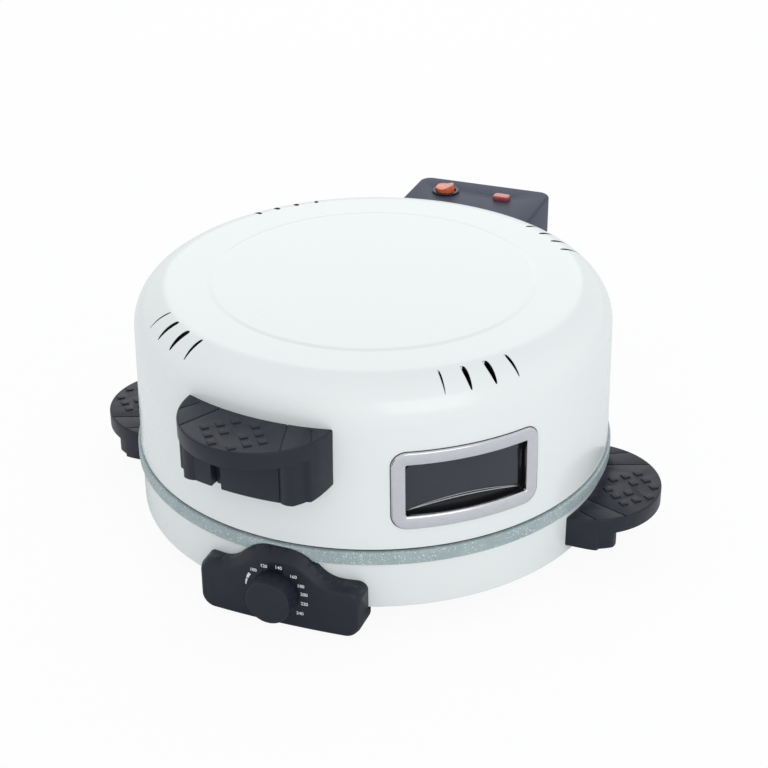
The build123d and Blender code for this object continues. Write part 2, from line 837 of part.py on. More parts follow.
def make_lid_shell():
    shell = lid_form() - lid_form(lid_wall)
    shell += disc(crown_radius, lid_top - lid_wall, lid_top + crown_step)
    shell -= disc(crown_radius - lid_wall, lid_top - 2 * lid_wall, lid_top + crown_step - lid_wall)
    flange = disc(lid_radius - lid_wall / 2, seam, seam + lid_wall)
    shell += flange - disc(liner_radius - liner_wall, seam, seam + lid_wall)
    middle = vent_outer_radius - vent_length / 2
    cut_height = lid_shoulder - vent_width
    vent = Pos(0, -middle, lid_top - cut_height) * extrude(
        Rot(0, 0, 90) * SlotOverall(vent_length, vent_width), cut_height + vent_width
    )
    vents = []
    for group in range(vent_groups):
        for index in range(vents_per_group):
            turn = (index - (vents_per_group - 1) / 2) * vent_pitch
            vents.append(around(vent, vent_azimuth + 360 * group / vent_groups + turn))
    return shell - vents - window_prism(window_lip)


def make_liner():
    flange_low = seam + lid_wall
    inner = liner_radius - liner_wall
    edge = lid_radius - lid_wall - sheet_gap
    liner = turned(
        [
            (inner, flange_low, 0),
            (edge, flange_low, 0),
            (edge, flange_low + liner_wall, 0),
            (liner_radius, flange_low + liner_wall, 0),
            (liner_radius, liner_top, liner_shoulder),
            (0, liner_top, 0),
            (0, liner_top - liner_wall, 0),
            (inner, liner_top - liner_wall, liner_shoulder - liner_wall),
        ]
    )
    return liner - window_prism(window_lip + liner_window_gap)


# Hinge


def ear(x_low, x_high, corners):
    """A hinge ear: a plate square to X with a round eye at the axis."""
    side_plane = Plane(origin=(x_low, 0, 0), x_dir=(0, 1, 0), z_dir=(1, 0, 0))
    plate = extrude(side_plane * outline(corners), x_high - x_low)
    eye = rod(hinge_eye_radius, (x_low, hinge_reach, hinge_height), (x_high, hinge_reach, hinge_height))
    return plate + eye


def hinge_bore(gap):
    half = hinge_ear_offset + 4 * hinge_ear_thickness
    return rod(hinge_pin_radius + gap, (-half, hinge_reach, hinge_height), (half, hinge_reach, hinge_height))


def make_lid_hinge_bracket():
    low = seam + lid_strap_low
    high = seam + lid_strap_high
    half = hinge_ear_offset + hinge_ear_thickness + hinge_ear_margin
    strap = wall_band(0, strap_thickness, low, high) & block((-half, half), (0, hinge_reach), (low, high))
    inside = lid_radius - ear_bury
    corners = [
        (inside, high, 0),
        (lid_radius + hinge_ear_root, high, hinge_ear_corner),
        (hinge_reach + hinge_eye_radius, seam + lid_strap_low, hinge_ear_bend),
        (hinge_reach + hinge_eye_radius, hinge_height, 0),
        (hinge_reach - hinge_eye_radius, hinge_height, 0),
        (hinge_reach - hinge_eye_radius, seam + housing_floor, hinge_ear_corner),
        (inside, low, 0),
    ]
    bracket = strap
    for side in (-1, 1):
        span = sorted((side * hinge_ear_offset, side * (hinge_ear_offset + hinge_ear_thickness)))
        bracket += ear(*span, corners)
    return bracket - lid_form() - hinge_bore(running_gap)


def make_base_hinge_bracket():
    low = base_bottom + base_strap_inset
    high = box_top_height - base_strap_inset
    half = hinge_ear_offset - hinge_ear_gap
    drum_wall = disc(base_radius + strap_thickness, low, high) - disc(base_radius, low, high)
    strap = drum_wall & block((-half, half), (0, hinge_reach), (low, high))
    inside = base_radius - ear_bury
    back = box_back - housing_wall - base_ear_gap
    corners = [
        (inside, high, 0),
        (hinge_reach - hinge_eye_radius, high + ear_rise, hinge_ear_corner),
        (hinge_reach - hinge_eye_radius, hinge_height, 0),
        (hinge_reach + hinge_eye_radius, hinge_height, 0),
        (back, box_top_height - ear_rise, hinge_ear_corner),
        (back - base_ear_taper, low, hinge_ear_corner),
        (inside, low, 0),
    ]
    bracket = strap
    for side in (-1, 1):
        span = sorted((side * (half - hinge_ear_thickness), side * half))
        bracket += ear(*span, corners)
    return bracket - disc(base_radius, 0, lid_top) - hinge_bore(pin_fit)


def make_hinge_pin():
    """The pin with its head, held in the base's ears, and a clip ring on its plain end."""
    half = hinge_ear_offset + hinge_ear_thickness + hinge_pin_overhang
    end = (half + hinge_head_length, hinge_reach, hinge_height)
    lip_radius = hinge_pin_radius + hinge_pin_lip
    pin = rod(hinge_pin_radius, (-half, hinge_reach, hinge_height), end)
    pin += rod(lip_radius, (half, hinge_reach, hinge_height), end)
    clip_end = hinge_clip_thickness - half
    clip = rod(lip_radius, (-half, hinge_reach, hinge_height), (clip_end, hinge_reach, hinge_height))
    return pin, clip - pin


def strap_screw_seats(places):
    """Seats on the outside of a curved strap at the back, from (height, strap radius)."""
    seats = []
    for height, radius in places:
        spread = math.degrees(math.asin(hinge_ear_offset * strap_screw_share / radius))
        seats += [facing(180 + side * spread, height, radius) for side in (-1, 1)]
    return seats


# Rear housing and terminal box


def rounded_box(half_width, front, back, low, high, corner, edge):
    """A block open to the drum, with rounded rear corners and a rounded top."""
    shape = outline([
        (-half_width, front, 0), (half_width, front, 0),
        (half_width, back, corner), (-half_width, back, corner),
    ])
    solid = extrude(Pos(0, 0, low) * shape, high - low)
    if edge > 0:
        top = solid.faces().sort_by(Axis.Z)[-1].edges()
        solid = fillet([line for line in top if line.center().Y > front + part_gap], edge)
    return solid


def make_housing():
    front = lid_radius - housing_bury
    wall = housing_wall
    place = Pos(housing_offset, 0, 0)
    form = place * rounded_box(
        housing_half_width, front, housing_back, housing_bottom_height, housing_top_height,
        housing_corner, housing_edge,
    )
    cavity = place * rounded_box(
        housing_half_width - wall, front, housing_back - wall, housing_bottom_height,
        housing_top_height - wall, housing_corner - wall, 0,
    )
    front_skin = wall_band(0, wall, seam, lid_top)
    housing = form - (cavity - lid_form() - front_skin)
    low = housing_bottom_height + wall
    high = housing_top_height - wall
    for x, y in housing_boss_places():
        housing += rod(housing_boss_radius, (x, y, low), (x, y, high))
    notch_half = hinge_ear_offset + hinge_ear_thickness + hinge_ear_margin
    notch = block(
        (-notch_half, notch_half), (0, lid_radius + wall), (housing_bottom_height, seam + lid_strap_high)
    )
    housing -= lid_form() + notch
    hole_low = housing_top_height - 2 * wall
    switch_hole = rod(
        bezel_barrel_radius, (switch_offset, control_centre, hole_low),
        (switch_offset, control_centre, housing_top_height),
    )
    lamp_hole = extrude(Pos(lamp_offset, control_centre, hole_low) * lamp_stem_outline(), 2 * wall)
    return housing - switch_hole - lamp_hole


def housing_boss_places():
    inset = housing_wall + housing_boss_radius + housing_boss_gap
    offset = housing_half_width - inset
    return [
        (housing_offset + side * offset, y)
        for y in (housing_back - inset - housing_boss_gap, lid_radius + inset)
        for side in (-1, 1)
    ]


def make_housing_base():
    """The plate that closes the housing from below, slotted for the hinge ears."""
    low = housing_bottom_height
    high = low + housing_wall
    plate = Pos(housing_offset, 0, 0) * rounded_box(
        housing_half_width - housing_wall, lid_radius - housing_bury, housing_back - housing_wall, low, high,
        housing_corner - housing_wall, 0,
    )
    plate -= lid_form() + wall_band(0, housing_wall, seam, lid_top)
    ear_low = hinge_ear_offset - part_gap
    ear_high = hinge_ear_offset + hinge_ear_thickness + part_gap
    for side in (-1, 1):
        span = sorted((side * ear_low, side * ear_high))
        slot = block(span, (0, hinge_reach + hinge_eye_radius + part_gap), (low, high))
        plate -= slot
    return plate


def make_terminal_box():
    front = base_radius - box_tuck
    wall = housing_wall
    form = rounded_box(
        housing_half_width, front, box_back, box_floor_gap, box_top_height, box_corner, box_edge,
    )
    cavity = rounded_box(
        housing_half_width - wall, front, box_back - wall, box_floor_gap + wall, box_top_height - wall,
        box_corner - wall, 0,
    )
    box = form - cavity - disc(base_radius, foot_height, lid_top)
    half = hinge_ear_offset - hinge_ear_gap
    for side in (-1, 1):
        span = sorted((side * (half - hinge_ear_thickness - part_gap), side * (half + part_gap)))
        box -= block(span, (0, hinge_reach), (box_top_height - 2 * wall, box_top_height))
    level = box_boss_height()
    for x in box_boss_places():
        boss = rod(housing_boss_radius, (x, front, level), (x, box_back - wall, level))
        box += boss - disc(base_radius, 0, lid_top)
    return box - gland_rod(gland_barrel_radius, box_back - 2 * wall, box_back)


def box_boss_places():
    offset = housing_half_width - housing_wall - housing_boss_radius - box_boss_gap
    return (-offset, offset)


def box_boss_height():
    return (box_top_height + base_bottom) / 2


def box_screw_seats():
    seats = []
    for x in box_boss_places():
        reach = math.sqrt((base_radius - base_wall) ** 2 - (abs(x) + head_radius) ** 2)
        seats.append(Plane(origin=(x, reach, box_boss_height()), x_dir=(1, 0, 0), z_dir=(0, -1, 0)))
    return seats


def gland_rod(radius, start, end):
    """A round bar on the gland's axis between two distances behind the drum's axis."""
    return rod(radius, (gland_offset, start, gland_height), (gland_offset, end, gland_height))


def make_gland():
    """A round bush in the terminal box's back, bored for a mains lead."""
    inner_end = box_back + gland_flange - gland_length
    outer_end = box_back + gland_flange
    flange = gland_rod(gland_flange_radius, box_back, outer_end)
    flange = fillet(flange.edges().group_by(Axis.Y)[-1], gland_edge)
    return flange + gland_rod(gland_barrel_radius, inner_end, box_back) - gland_rod(
        gland_bore_radius, inner_end, outer_end
    )


def make_terminal_block():
    """The block where the mains lead meets the heaters' wires, on the base's back wall."""
    width, depth, height = terminal_size
    back = box_back - housing_wall
    low = box_floor_gap + housing_wall
    terminal = block((-width / 2, width / 2), (back - depth, back), (low, low + height))
    pitch = width / terminal_count
    y = back - depth / 2
    for index in range(terminal_count):
        x = pitch * (index + 0.5) - width / 2
        terminal -= rod(terminal_bore, (x, y, low + height / 2), (x, y, low + height))
    return terminal


# Switch and lamp


def make_switch():
    place = Pos(switch_offset, control_centre, housing_top_height)
    flange = Pos(0, 0, bezel_thickness / 2) * Cylinder(bezel_radius, bezel_thickness)
    flange = fillet(flange.edges().group_by(Axis.Z)[-1], bezel_edge)
    barrel = Pos(0, 0, -bezel_depth / 2) * Cylinder(bezel_barrel_radius, bezel_depth)
    bore_length = bezel_thickness + bezel_depth
    bore = Pos(0, 0, bezel_thickness - bore_length / 2) * Cylinder(bezel_bore_radius, bore_length)
    pivot = rod(
        rocker_pivot_radius + running_gap, (0, -bezel_barrel_radius, -rocker_pivot_depth),
        (0, bezel_barrel_radius, -rocker_pivot_depth),
    )
    bezel = place * (flange + barrel - bore - pivot)
    half_width = switch_body_width / 2
    body_low = -bezel_depth - switch_body_depth
    body = block((-half_width, half_width), (-half_width, half_width), (body_low, -bezel_depth))
    thickness, width, length = switch_tab_size
    tab = block((-thickness / 2, thickness / 2), (-width / 2, width / 2), (body_low - length, body_low))
    for side in (-1, 1):
        body += Pos(side * switch_tab_offset, 0, 0) * tab
    return bezel, place * body


def make_rocker():
    """A round rocker with a shallow V top, on pivot stubs, tipped to its off side."""
    profile = [
        (-rocker_radius, -rocker_depth, rocker_edge),
        (rocker_radius, -rocker_depth, rocker_edge),
        (rocker_radius, rocker_rise, rocker_edge),
        (0, rocker_rise - rocker_valley, rocker_valley_bend),
        (-rocker_radius, rocker_rise, rocker_edge),
    ]
    wedge = extrude(Plane.XZ * outline(profile), rocker_radius, both=True)
    round_plan = Pos(0, 0, rocker_rise / 2) * Cylinder(rocker_radius, 4 * rocker_rise)
    rocker = wedge & round_plan
    stub_end = bezel_barrel_radius - part_gap
    rocker += rod(rocker_pivot_radius, (0, -stub_end, 0), (0, stub_end, 0))
    pivot = Pos(switch_offset, control_centre, housing_top_height - rocker_pivot_depth)
    return pivot * Rot(0, -rocker_tilt, 0) * rocker


def lamp_stem_outline():
    """The lamp's shape below its flange."""
    margin = 2 * lamp_flange
    return RectangleRounded(lamp_length - margin, lamp_width - margin, lamp_corner - lamp_flange)


def make_lamp():
    place = Pos(lamp_offset, control_centre, housing_top_height)
    lens = extrude(RectangleRounded(lamp_length, lamp_width, lamp_corner), lamp_rise)
    lens = fillet(lens.edges().group_by(Axis.Z)[-1], lamp_edge)
    stem = Pos(0, 0, -lamp_barrel_depth) * extrude(lamp_stem_outline(), lamp_barrel_depth)
    half_length = lamp_length / 2 + lamp_wall
    half_width = lamp_width / 2 + lamp_wall
    holder = block(
        (-half_length, half_length), (-half_width, half_width),
        (-housing_wall - lamp_holder_depth, -housing_wall),
    )
    return place * (lens + stem), place * (holder - stem)


# Assembly


def drilled(shape, seats, length):
    """A piece with the holes of one set of screws."""
    return shape - [screw_hole(seat, length) for seat in seats]


def make_base_group():
    plate_seats = bottom_screw_seats()
    feet, foot_screw_seats = make_feet()
    foot_thread = foot_web + screw_grip / 2
    plate_thread = bottom_plate_thickness + base_wall + screw_grip / 2
    plate = drilled(make_bottom_plate(), plate_seats, plate_thread)
    parts["bottom_plate"] = drilled(plate, foot_screw_seats, foot_thread)
    parts["feet"] = feet
    parts["foot_screws"] = [screw(seat, foot_thread) for seat in foot_screw_seats]
    parts["bottom_plate_screws"] = [screw(seat, plate_thread) for seat in plate_seats]

    shell = drilled(make_base_shell(), plate_seats, plate_thread)
    side_top = seam - side_handle_drop
    wall_inner = base_radius - base_wall
    grip_thread = base_wall + screw_grip
    grip_level = side_top - side_handle_height / 2
    drum = disc(base_radius, 0, lid_top)
    side_screws = []
    for name, azimuth in side_handle_azimuths.items():
        seats = grip_screw_seats(wall_inner, azimuth, grip_level)
        grip = around(make_grip(drum, base_radius, side_top, side_handle_height), azimuth)
        parts["side_handle_" + name] = drilled(grip, seats, grip_thread)
        shell = drilled(shell, seats, grip_thread)
        side_screws += [screw(seat, grip_thread) for seat in seats]
    parts["side_handle_screws"] = side_screws

    panel_seats = panel_screw_seats()
    panel_thread = base_wall + 2 * screw_grip
    parts["control_panel"] = drilled(make_control_panel(), panel_seats, panel_thread)
    parts["panel_screws"] = [screw(seat, panel_thread) for seat in panel_seats]
    shell = drilled(shell, panel_seats, panel_thread)

    strap_low = base_bottom + base_strap_inset
    strap_high = box_top_height - base_strap_inset
    strap_outer = base_radius + strap_thickness
    levels = (strap_low + base_strap_screw_inset, strap_high - base_strap_screw_inset)
    strap_seats = strap_screw_seats([(level, strap_outer) for level in levels])
    strap_thread = strap_thickness + base_wall + strap_screw_end
    parts["base_hinge_bracket"] = drilled(make_base_hinge_bracket(), strap_seats, strap_thread)
    parts["base_hinge_screws"] = [screw(seat, strap_thread) for seat in strap_seats]
    shell = drilled(shell, strap_seats, strap_thread)
    parts["hinge_pin"], parts["hinge_pin_clip"] = make_hinge_pin()

    box_seats = box_screw_seats()
    box_thread = base_wall + screw_grip
    parts["terminal_box"] = drilled(make_terminal_box(), box_seats, box_thread)
    parts["terminal_box_screws"] = [screw(seat, box_thread) for seat in box_seats]
    parts["base_shell"] = drilled(shell, box_seats, box_thread)
    parts["cord_gland"] = make_gland()
    parts["terminal_block"] = make_terminal_block()

    parts["thermostat"] = make_thermostat()
    parts["thermostat_nut"] = make_thermostat_nut()
    bulb, bulb_start = make_bulb()
    parts["thermostat_bulb"] = bulb
    parts["bulb_clip"] = make_bulb_clip(bulb, bulb_start)

    tube = heater(lower_heater_radius, lower_heater_height, reflector_radius + heater_leg_end)
    parts["lower_heater"] = tube
    seat = reflector_floor + reflector_wall
    parts["lower_heater_clips"] = heater_clips(lower_heater_radius, tube, seat, lower_heater_height)
    parts["lower_reflector"] = make_reflector() - tube - bulb
    parts["baking_pan"] = make_pan()

    parts["knob"] = make_knob()
    parts["knob_shaft"] = make_shaft()


def make_lid_group():
    shell = make_lid_shell()
    handle_top = seam + lid_handle_top
    handle_level = handle_top - lid_handle_height / 2
    wall_inner = lid_wall_radius(handle_level + head_radius) - lid_wall
    grip_thread = lid_wall + screw_grip
    seats = grip_screw_seats(wall_inner, lid_handle_azimuth, handle_level)
    grip = make_grip(lid_form(), lid_wall_radius(handle_level), handle_top, lid_handle_height)
    parts["lid_handle"] = drilled(around(grip, lid_handle_azimuth), seats, grip_thread)
    parts["lid_handle_screws"] = [screw(seat, grip_thread) for seat in seats]
    shell = drilled(shell, seats, grip_thread)

    heights = (seam + lid_strap_low + lid_strap_screw_inset, seam + lid_strap_high - lid_strap_screw_inset)
    strap_seats = strap_screw_seats(
        [(height, lid_wall_radius(height - head_radius) + strap_thickness) for height in heights]
    )
    strap_thread = strap_thickness + lid_wall + strap_screw_end
    parts["lid_hinge_bracket"] = drilled(make_lid_hinge_bracket(), strap_seats, strap_thread)
    parts["lid_hinge_screws"] = [screw(seat, strap_thread) for seat in strap_seats]
    parts["lid_shell"] = drilled(shell, strap_seats, strap_thread)

    frame, gasket, glass, retainer = make_window()
    parts["window_frame"] = frame
    parts["window_gasket"] = gasket
    parts["window_glass"] = glass
    parts["window_retainer"] = retainer

    tube = heater(upper_heater_radius, upper_heater_height, liner_radius + heater_leg_end)
    parts["upper_heater"] = tube
    seat = liner_top - liner_wall
    parts["upper_heater_clips"] = heater_clips(upper_heater_radius, tube, seat, upper_heater_height)
    parts["lid_liner"] = make_liner() - tube

    housing_seats = [
        Pos(x, y, housing_bottom_height) * Rot(180, 0, 0) for x, y in housing_boss_places()
    ]
    housing_thread = housing_wall + screw_grip
    parts["rear_housing"] = drilled(make_housing(), housing_seats, housing_thread)
    parts["rear_housing_base"] = drilled(make_housing_base(), housing_seats, housing_thread)
    parts["rear_housing_screws"] = [screw(seat, housing_thread) for seat in housing_seats]
    parts["switch_bezel"], parts["switch_body"] = make_switch()
    parts["switch_rocker"] = make_rocker()
    parts["lamp_lens"], parts["lamp_holder"] = make_lamp()


def solids_of(shape):
    """All solids of a piece or of a list of pieces."""
    pieces = shape if isinstance(shape, (list, tuple)) else [shape]
    return [solid for piece in pieces for solid in piece.solids()]


make_base_group()
make_lid_group()

# The origin is on the table, under the middle of the whole part.
whole = Compound(children=[solid for shape in parts.values() for solid in solids_of(shape)]).bounding_box()
to_origin = Pos(-whole.center().X, -whole.center().Y, -whole.min.Z)

os.makedirs("parts", exist_ok=True)
for node, shape in parts.items():
    moved = [to_origin * solid for solid in solids_of(shape)]
    export_step(moved[0] if len(moved) == 1 else Compound(children=moved), "parts/" + node + ".step")
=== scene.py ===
import math

import bpy
from mathutils import Matrix, Vector


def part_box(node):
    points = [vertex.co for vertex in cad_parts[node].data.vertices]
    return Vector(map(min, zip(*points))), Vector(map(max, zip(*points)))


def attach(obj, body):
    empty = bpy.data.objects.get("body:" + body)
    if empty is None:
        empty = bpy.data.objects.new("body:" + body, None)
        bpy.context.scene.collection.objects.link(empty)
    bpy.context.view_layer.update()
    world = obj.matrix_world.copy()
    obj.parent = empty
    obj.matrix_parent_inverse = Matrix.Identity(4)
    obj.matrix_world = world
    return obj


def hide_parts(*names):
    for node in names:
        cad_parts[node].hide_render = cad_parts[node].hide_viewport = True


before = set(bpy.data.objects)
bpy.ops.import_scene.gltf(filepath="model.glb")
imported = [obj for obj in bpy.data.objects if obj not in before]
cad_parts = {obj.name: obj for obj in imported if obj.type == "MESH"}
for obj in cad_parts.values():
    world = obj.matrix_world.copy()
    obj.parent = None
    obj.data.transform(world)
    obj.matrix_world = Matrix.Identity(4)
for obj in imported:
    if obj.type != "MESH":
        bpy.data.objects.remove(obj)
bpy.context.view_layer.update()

mm = 0.001

# Places that come from the frame
pan_low, pan_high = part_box("baking_pan")
shell_low, shell_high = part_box("lid_shell")
base_low, base_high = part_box("base_shell")
axis_x = (pan_low.x + pan_high.x) / 2
axis_y = (pan_low.y + pan_high.y) / 2
seam = shell_low.z
crown_top = shell_high.z
pan_top = pan_high.z
base_top = base_high.z
base_bottom = base_low.z

# Lid
lid_radius = 210.0 * mm
lid_draft = 2.5 * mm
lid_shoulder = 34.0 * mm
lid_wall = 1.0 * mm
lid_edge_corner = 0.45 * mm
crown_radius = 139.0 * mm
crown_step = 0.8 * mm
crown_blend = 4.0 * mm
liner_radius = 197.0 * mm
flange_overlap = 0.8 * mm
seam_rise = 1.3 * mm
seam_inset = 1.4 * mm
# Black ring in the seam's recess, painted shade for its shadow line
shade_ring_gap = 0.05 * mm
shade_ring_proud = 0.35 * mm
shade_ring_depth = 0.2 * mm
shade_ring_corner = 0.2 * mm
lid_top = crown_top - crown_step

# Vents: azimuth, inner radius, widths, and a hand of 1 for flaps on the side of lower azimuth
front_vent_widths = (2.6 * mm, 5.4 * mm, 6.2 * mm, 3.8 * mm)
rear_vent_widths = (5.2 * mm, 5.8 * mm, 5.8 * mm, 5.0 * mm)
vent_groups = (
    (46.9, 181.0 * mm, front_vent_widths, 1),
    (138.5, 176.0 * mm, rear_vent_widths, 1),
    (228.3, 176.0 * mm, rear_vent_widths, -1),
    (322.4, 181.0 * mm, front_vent_widths, -1),
)
vent_pitch = 6.3
vent_length = 19.5 * mm
vent_inner_share = 1.12
vent_taper = 0.52
vent_fullness = 0.3
# Black linings inside the vents, painted shade for the shadowed slots
vent_shade_lining_gap = 0.08 * mm
vent_shade_lining_drop = 0.12 * mm
vent_shade_lining_depth = 3.0 * mm
vent_shade_lining_wall = 0.25 * mm
flap_wall = 0.7 * mm
flap_drop = 0.15 * mm
flap_steepness = 1.5
flap_curl = 1.3
flap_reach = 0.62
flap_overlap = 1.03
flap_end_gap = 0.01

# Window
window_azimuth = 42.6
window_width = 106.0 * mm
window_height = 46.0 * mm
window_corner = 6.0 * mm
window_border = 11.8 * mm
window_frame_rise = 2.6 * mm
window_reveal = 4.5 * mm
window_centre = seam + 55.0 * mm
opening_border = 1.2 * mm
corner_growth = 0.6
bend_columns = 40
band_rise = 7.4 * mm
band_foot = 0.8 * mm
band_lift = 0.5 * mm
bead_span = (-0.97, 0.94)
bead_lift = 0.7 * mm
window_beads = (
    ("window_bead_low", 7.8 * mm, 0.75 * mm),
    ("window_bead_high", 10.0 * mm, 0.45 * mm),
)
side_band_width = 5.0 * mm
side_band_lift = 0.4 * mm
clip_inset = (3.6 * mm, 2.2 * mm)
clip_span = (-4.0 * mm, 13.0 * mm)
clip_lift = 0.8 * mm

# Lid handle
handle_azimuth = -5.7
handle_bottom = seam + 57.0 * mm
web_height = 40.0 * mm
web_span = (-53.5 * mm, 38.0 * mm)
web_reach = 30.0 * mm
web_depth = 24.0 * mm
web_corner = 12.0 * mm
web_lift = 0.05 * mm
web_edge = 0.7 * mm
web_columns = 36
hollow_place = (-18.0 * mm, 1.0 * mm, 8.0 * mm)
hollow_size = (9.0 * mm, 16.0 * mm, 24.0 * mm)

# Base and pan
base_radius = 209.5 * mm
base_lip = 2.0 * mm
base_lip_height = 1.4 * mm
base_flange = 18.0 * mm
base_shelf = 9.5 * mm
base_wall = 1.0 * mm
base_corner = 1.5 * mm
lip_corner = 0.5 * mm
pan_radius = 212.6 * mm
pan_mouth = 198.0 * mm
pan_floor_radius = 188.0 * mm
pan_depth = 24.0 * mm
pan_wall = 2.0 * mm
pan_floor_wall = 3.0 * mm
pan_disc_inset = 20.0 * mm
pan_rim_corner = 1.6 * mm
pan_skirt_corner = 0.6 * mm
pan_seat_corner = 0.2 * mm
pan_bend_corner = 0.5 * mm
pan_heel_corner = 5.0 * mm
pan_foot_corner = 7.0 * mm

# Panel and dial
panel_reach = 222.0 * mm
panel_bow = 760.0 * mm
knob_centre = seam - 41.0 * mm
dial_radius = 26.2 * mm
dial_offset = (-1.0 * mm, -1.5 * mm)
dial_angles = (-45.0, -20.0, 9.0, 40.0, 62.0, 80.0, 100.0, 124.0)
numeral_height = 4.2 * mm
numeral_depth = 0.04 * mm
numeral_weight = 0.09 * mm
print_lift = 0.06 * mm
dial_marks = (
    ("dial_mark_wide", -57.0, -69.0, 2.6 * mm, 2.0 * mm),
    ("dial_mark_narrow", -71.0, -84.0, 1.9 * mm, 1.0 * mm),
)

# Camera: angles in degrees, distances in metres, the frame in pixels
camera_azimuth = 21.5
camera_elevation = 28.195
camera_roll = -0.5615
camera_distance = 1.554
target_height = 0.118
frame_pixels = 768
focal_pixels = 1736.36
view_centre = (373.92, 381.03)
sensor_width = 36.0

# Light
floor_size = 24
floor_shade = (0.92, 0.92, 0.92, 1)
floor_white = 0.93
sky_colour = (0.95, 0.98, 1.0, 1)
sky_strength = 0.87
lamp_target = (0, 0, 0.1)

# Facets round the drum, and the distance under which points are joined
turns = 384
weld = 1e-6


# Materials


def new_material(name):
    material = bpy.data.materials.new(name)
    material.use_nodes = True
    shader = material.node_tree.nodes["Principled BSDF"]
    return material, material.node_tree, shader


def object_noise(tree, scale, detail=3.0, stretch=(1, 1, 1)):
    """Noise on Object coordinates, its features about 1/scale metres wide."""
    place = tree.nodes.new("ShaderNodeTexCoord")
    mapping = tree.nodes.new("ShaderNodeMapping")
    mapping.inputs["Scale"].default_value = stretch
    noise = tree.nodes.new("ShaderNodeTexNoise")
    noise.inputs["Scale"].default_value = scale
    noise.inputs["Detail"].default_value = detail
    tree.links.new(place.outputs["Object"], mapping.inputs["Vector"])
    tree.links.new(mapping.outputs["Vector"], noise.inputs["Vector"])
    return noise


def ramp(tree, source, stops):
    """A colour ramp from (position, colour) stops."""
    node = tree.nodes.new("ShaderNodeValToRGB")
    elements = node.color_ramp.elements
    while len(elements) < len(stops):
        elements.new(0.5)
    for element, (position, colour) in zip(elements, stops):
        element.position = position
        element.color = (*colour, 1.0)
    tree.links.new(source, node.inputs["Fac"])
    return node


def tint(tree, shader, noise, stops):
    """Colours a surface by a noise."""
    colour = ramp(tree, noise.outputs["Fac"], stops)
    tree.links.new(colour.outputs["Color"], shader.inputs["Base Color"])


def add_bump(tree, shader, noise, strength, distance):
    bump = tree.nodes.new("ShaderNodeBump")
    bump.inputs["Strength"].default_value = strength
    bump.inputs["Distance"].default_value = distance
    tree.links.new(noise.outputs["Fac"], bump.inputs["Height"])
    tree.links.new(bump.outputs["Normal"], shader.inputs["Normal"])


def vary(tree, shader, noise, socket, low, high):
    """Drives a socket between two values by a noise."""
    spread = tree.nodes.new("ShaderNodeMapRange")
    spread.inputs["To Min"].default_value = low
    spread.inputs["To Max"].default_value = high
    tree.links.new(noise.outputs["Fac"], spread.inputs["Value"])
    tree.links.new(spread.outputs["Result"], shader.inputs[socket])


def gloss_paint():
    """White oven enamel: cool white, glossy, with a faint orange-peel ripple."""
    material, tree, shader = new_material("gloss_paint")
    cloud = object_noise(tree, 9.0)
    tint(tree, shader, cloud, [(0.0, (0.79, 0.825, 0.815)), (1.0, (0.815, 0.845, 0.835))])
    ripple = object_noise(tree, 420.0, detail=1.0)
    add_bump(tree, shader, ripple, 0.04, 0.0004)
    vary(tree, shader, cloud, "Roughness", 0.22, 0.30)
    shader.inputs["Coat Weight"].default_value = 0.35
    shader.inputs["Coat Roughness"].default_value = 0.12
    return material


def granite_coating():
    """Non-stick coating: grey-green ground with pale and dark specks of several sizes."""
    material, tree, shader = new_material("granite_coating")
    cloud = object_noise(tree, 60.0, detail=4.0)
    stops = [(0.2, (0.285, 0.36, 0.375)), (0.8, (0.40, 0.475, 0.49))]
    ground = ramp(tree, cloud.outputs["Fac"], stops)
    colour = ground.outputs["Color"]
    place = tree.nodes.new("ShaderNodeTexCoord")
    specks = (
        (520.0, 0.30, (0.78, 0.82, 0.80)),
        (900.0, 0.26, (0.10, 0.13, 0.14)),
        (1500.0, 0.30, (0.62, 0.67, 0.66)),
    )
    for scale, size, shade in specks:
        cells = tree.nodes.new("ShaderNodeTexVoronoi")
        cells.inputs["Scale"].default_value = scale
        tree.links.new(place.outputs["Object"], cells.inputs["Vector"])
        edge = ramp(tree, cells.outputs["Distance"], [(size * 0.7, (1, 1, 1)), (size, (0, 0, 0))])
        pick = ramp(tree, cells.outputs["Color"], [(0.50, (0, 0, 0)), (0.56, (1, 1, 1))])
        both = tree.nodes.new("ShaderNodeMix")
        both.data_type = "RGBA"
        both.blend_type = "MULTIPLY"
        both.inputs["Factor"].default_value = 1.0
        tree.links.new(edge.outputs["Color"], both.inputs["A"])
        tree.links.new(pick.outputs["Color"], both.inputs["B"])
        mix = tree.nodes.new("ShaderNodeMix")
        mix.data_type = "RGBA"
        tree.links.new(both.outputs["Result"], mix.inputs["Factor"])
        tree.links.new(colour, mix.inputs["A"])
        mix.inputs["B"].default_value = (*shade, 1.0)
        colour = mix.outputs["Result"]
    tree.links.new(colour, shader.inputs["Base Color"])
    grain = object_noise(tree, 1400.0, detail=2.0)
    add_bump(tree, shader, grain, 0.15, 0.0002)
    vary(tree, shader, cloud, "Roughness", 0.42, 0.52)
    return material


def moulded_black(name, low, high, roughness, grain_strength):
    """Black heat-proof moulding with a fine spark-eroded grain."""
    material, tree, shader = new_material(name)
    cloud = object_noise(tree, 35.0, detail=4.0)
    tint(tree, shader, cloud, [(0.2, low), (0.8, high)])
    shader.inputs["Specular IOR Level"].default_value = 0.28
    grain = object_noise(tree, 2600.0, detail=2.0)
    add_bump(tree, shader, grain, grain_strength, 0.00012)
    vary(tree, shader, cloud, "Roughness", roughness - 0.04, roughness + 0.04)
    return material


def metal(name, low, high, roughness, stretch, scale=300.0, strength=0.05):
    """Metal with fine lines along one direction, set by how the noise is stretched."""
    material, tree, shader = new_material(name)
    lines = object_noise(tree, scale, detail=3.0, stretch=stretch)
    tint(tree, shader, lines, [(0.3, low), (0.7, high)])
    add_bump(tree, shader, lines, strength, 0.0001)
    vary(tree, shader, lines, "Roughness", roughness * 0.8, roughness * 1.2)
    shader.inputs["Metallic"].default_value = 1.0
    return material


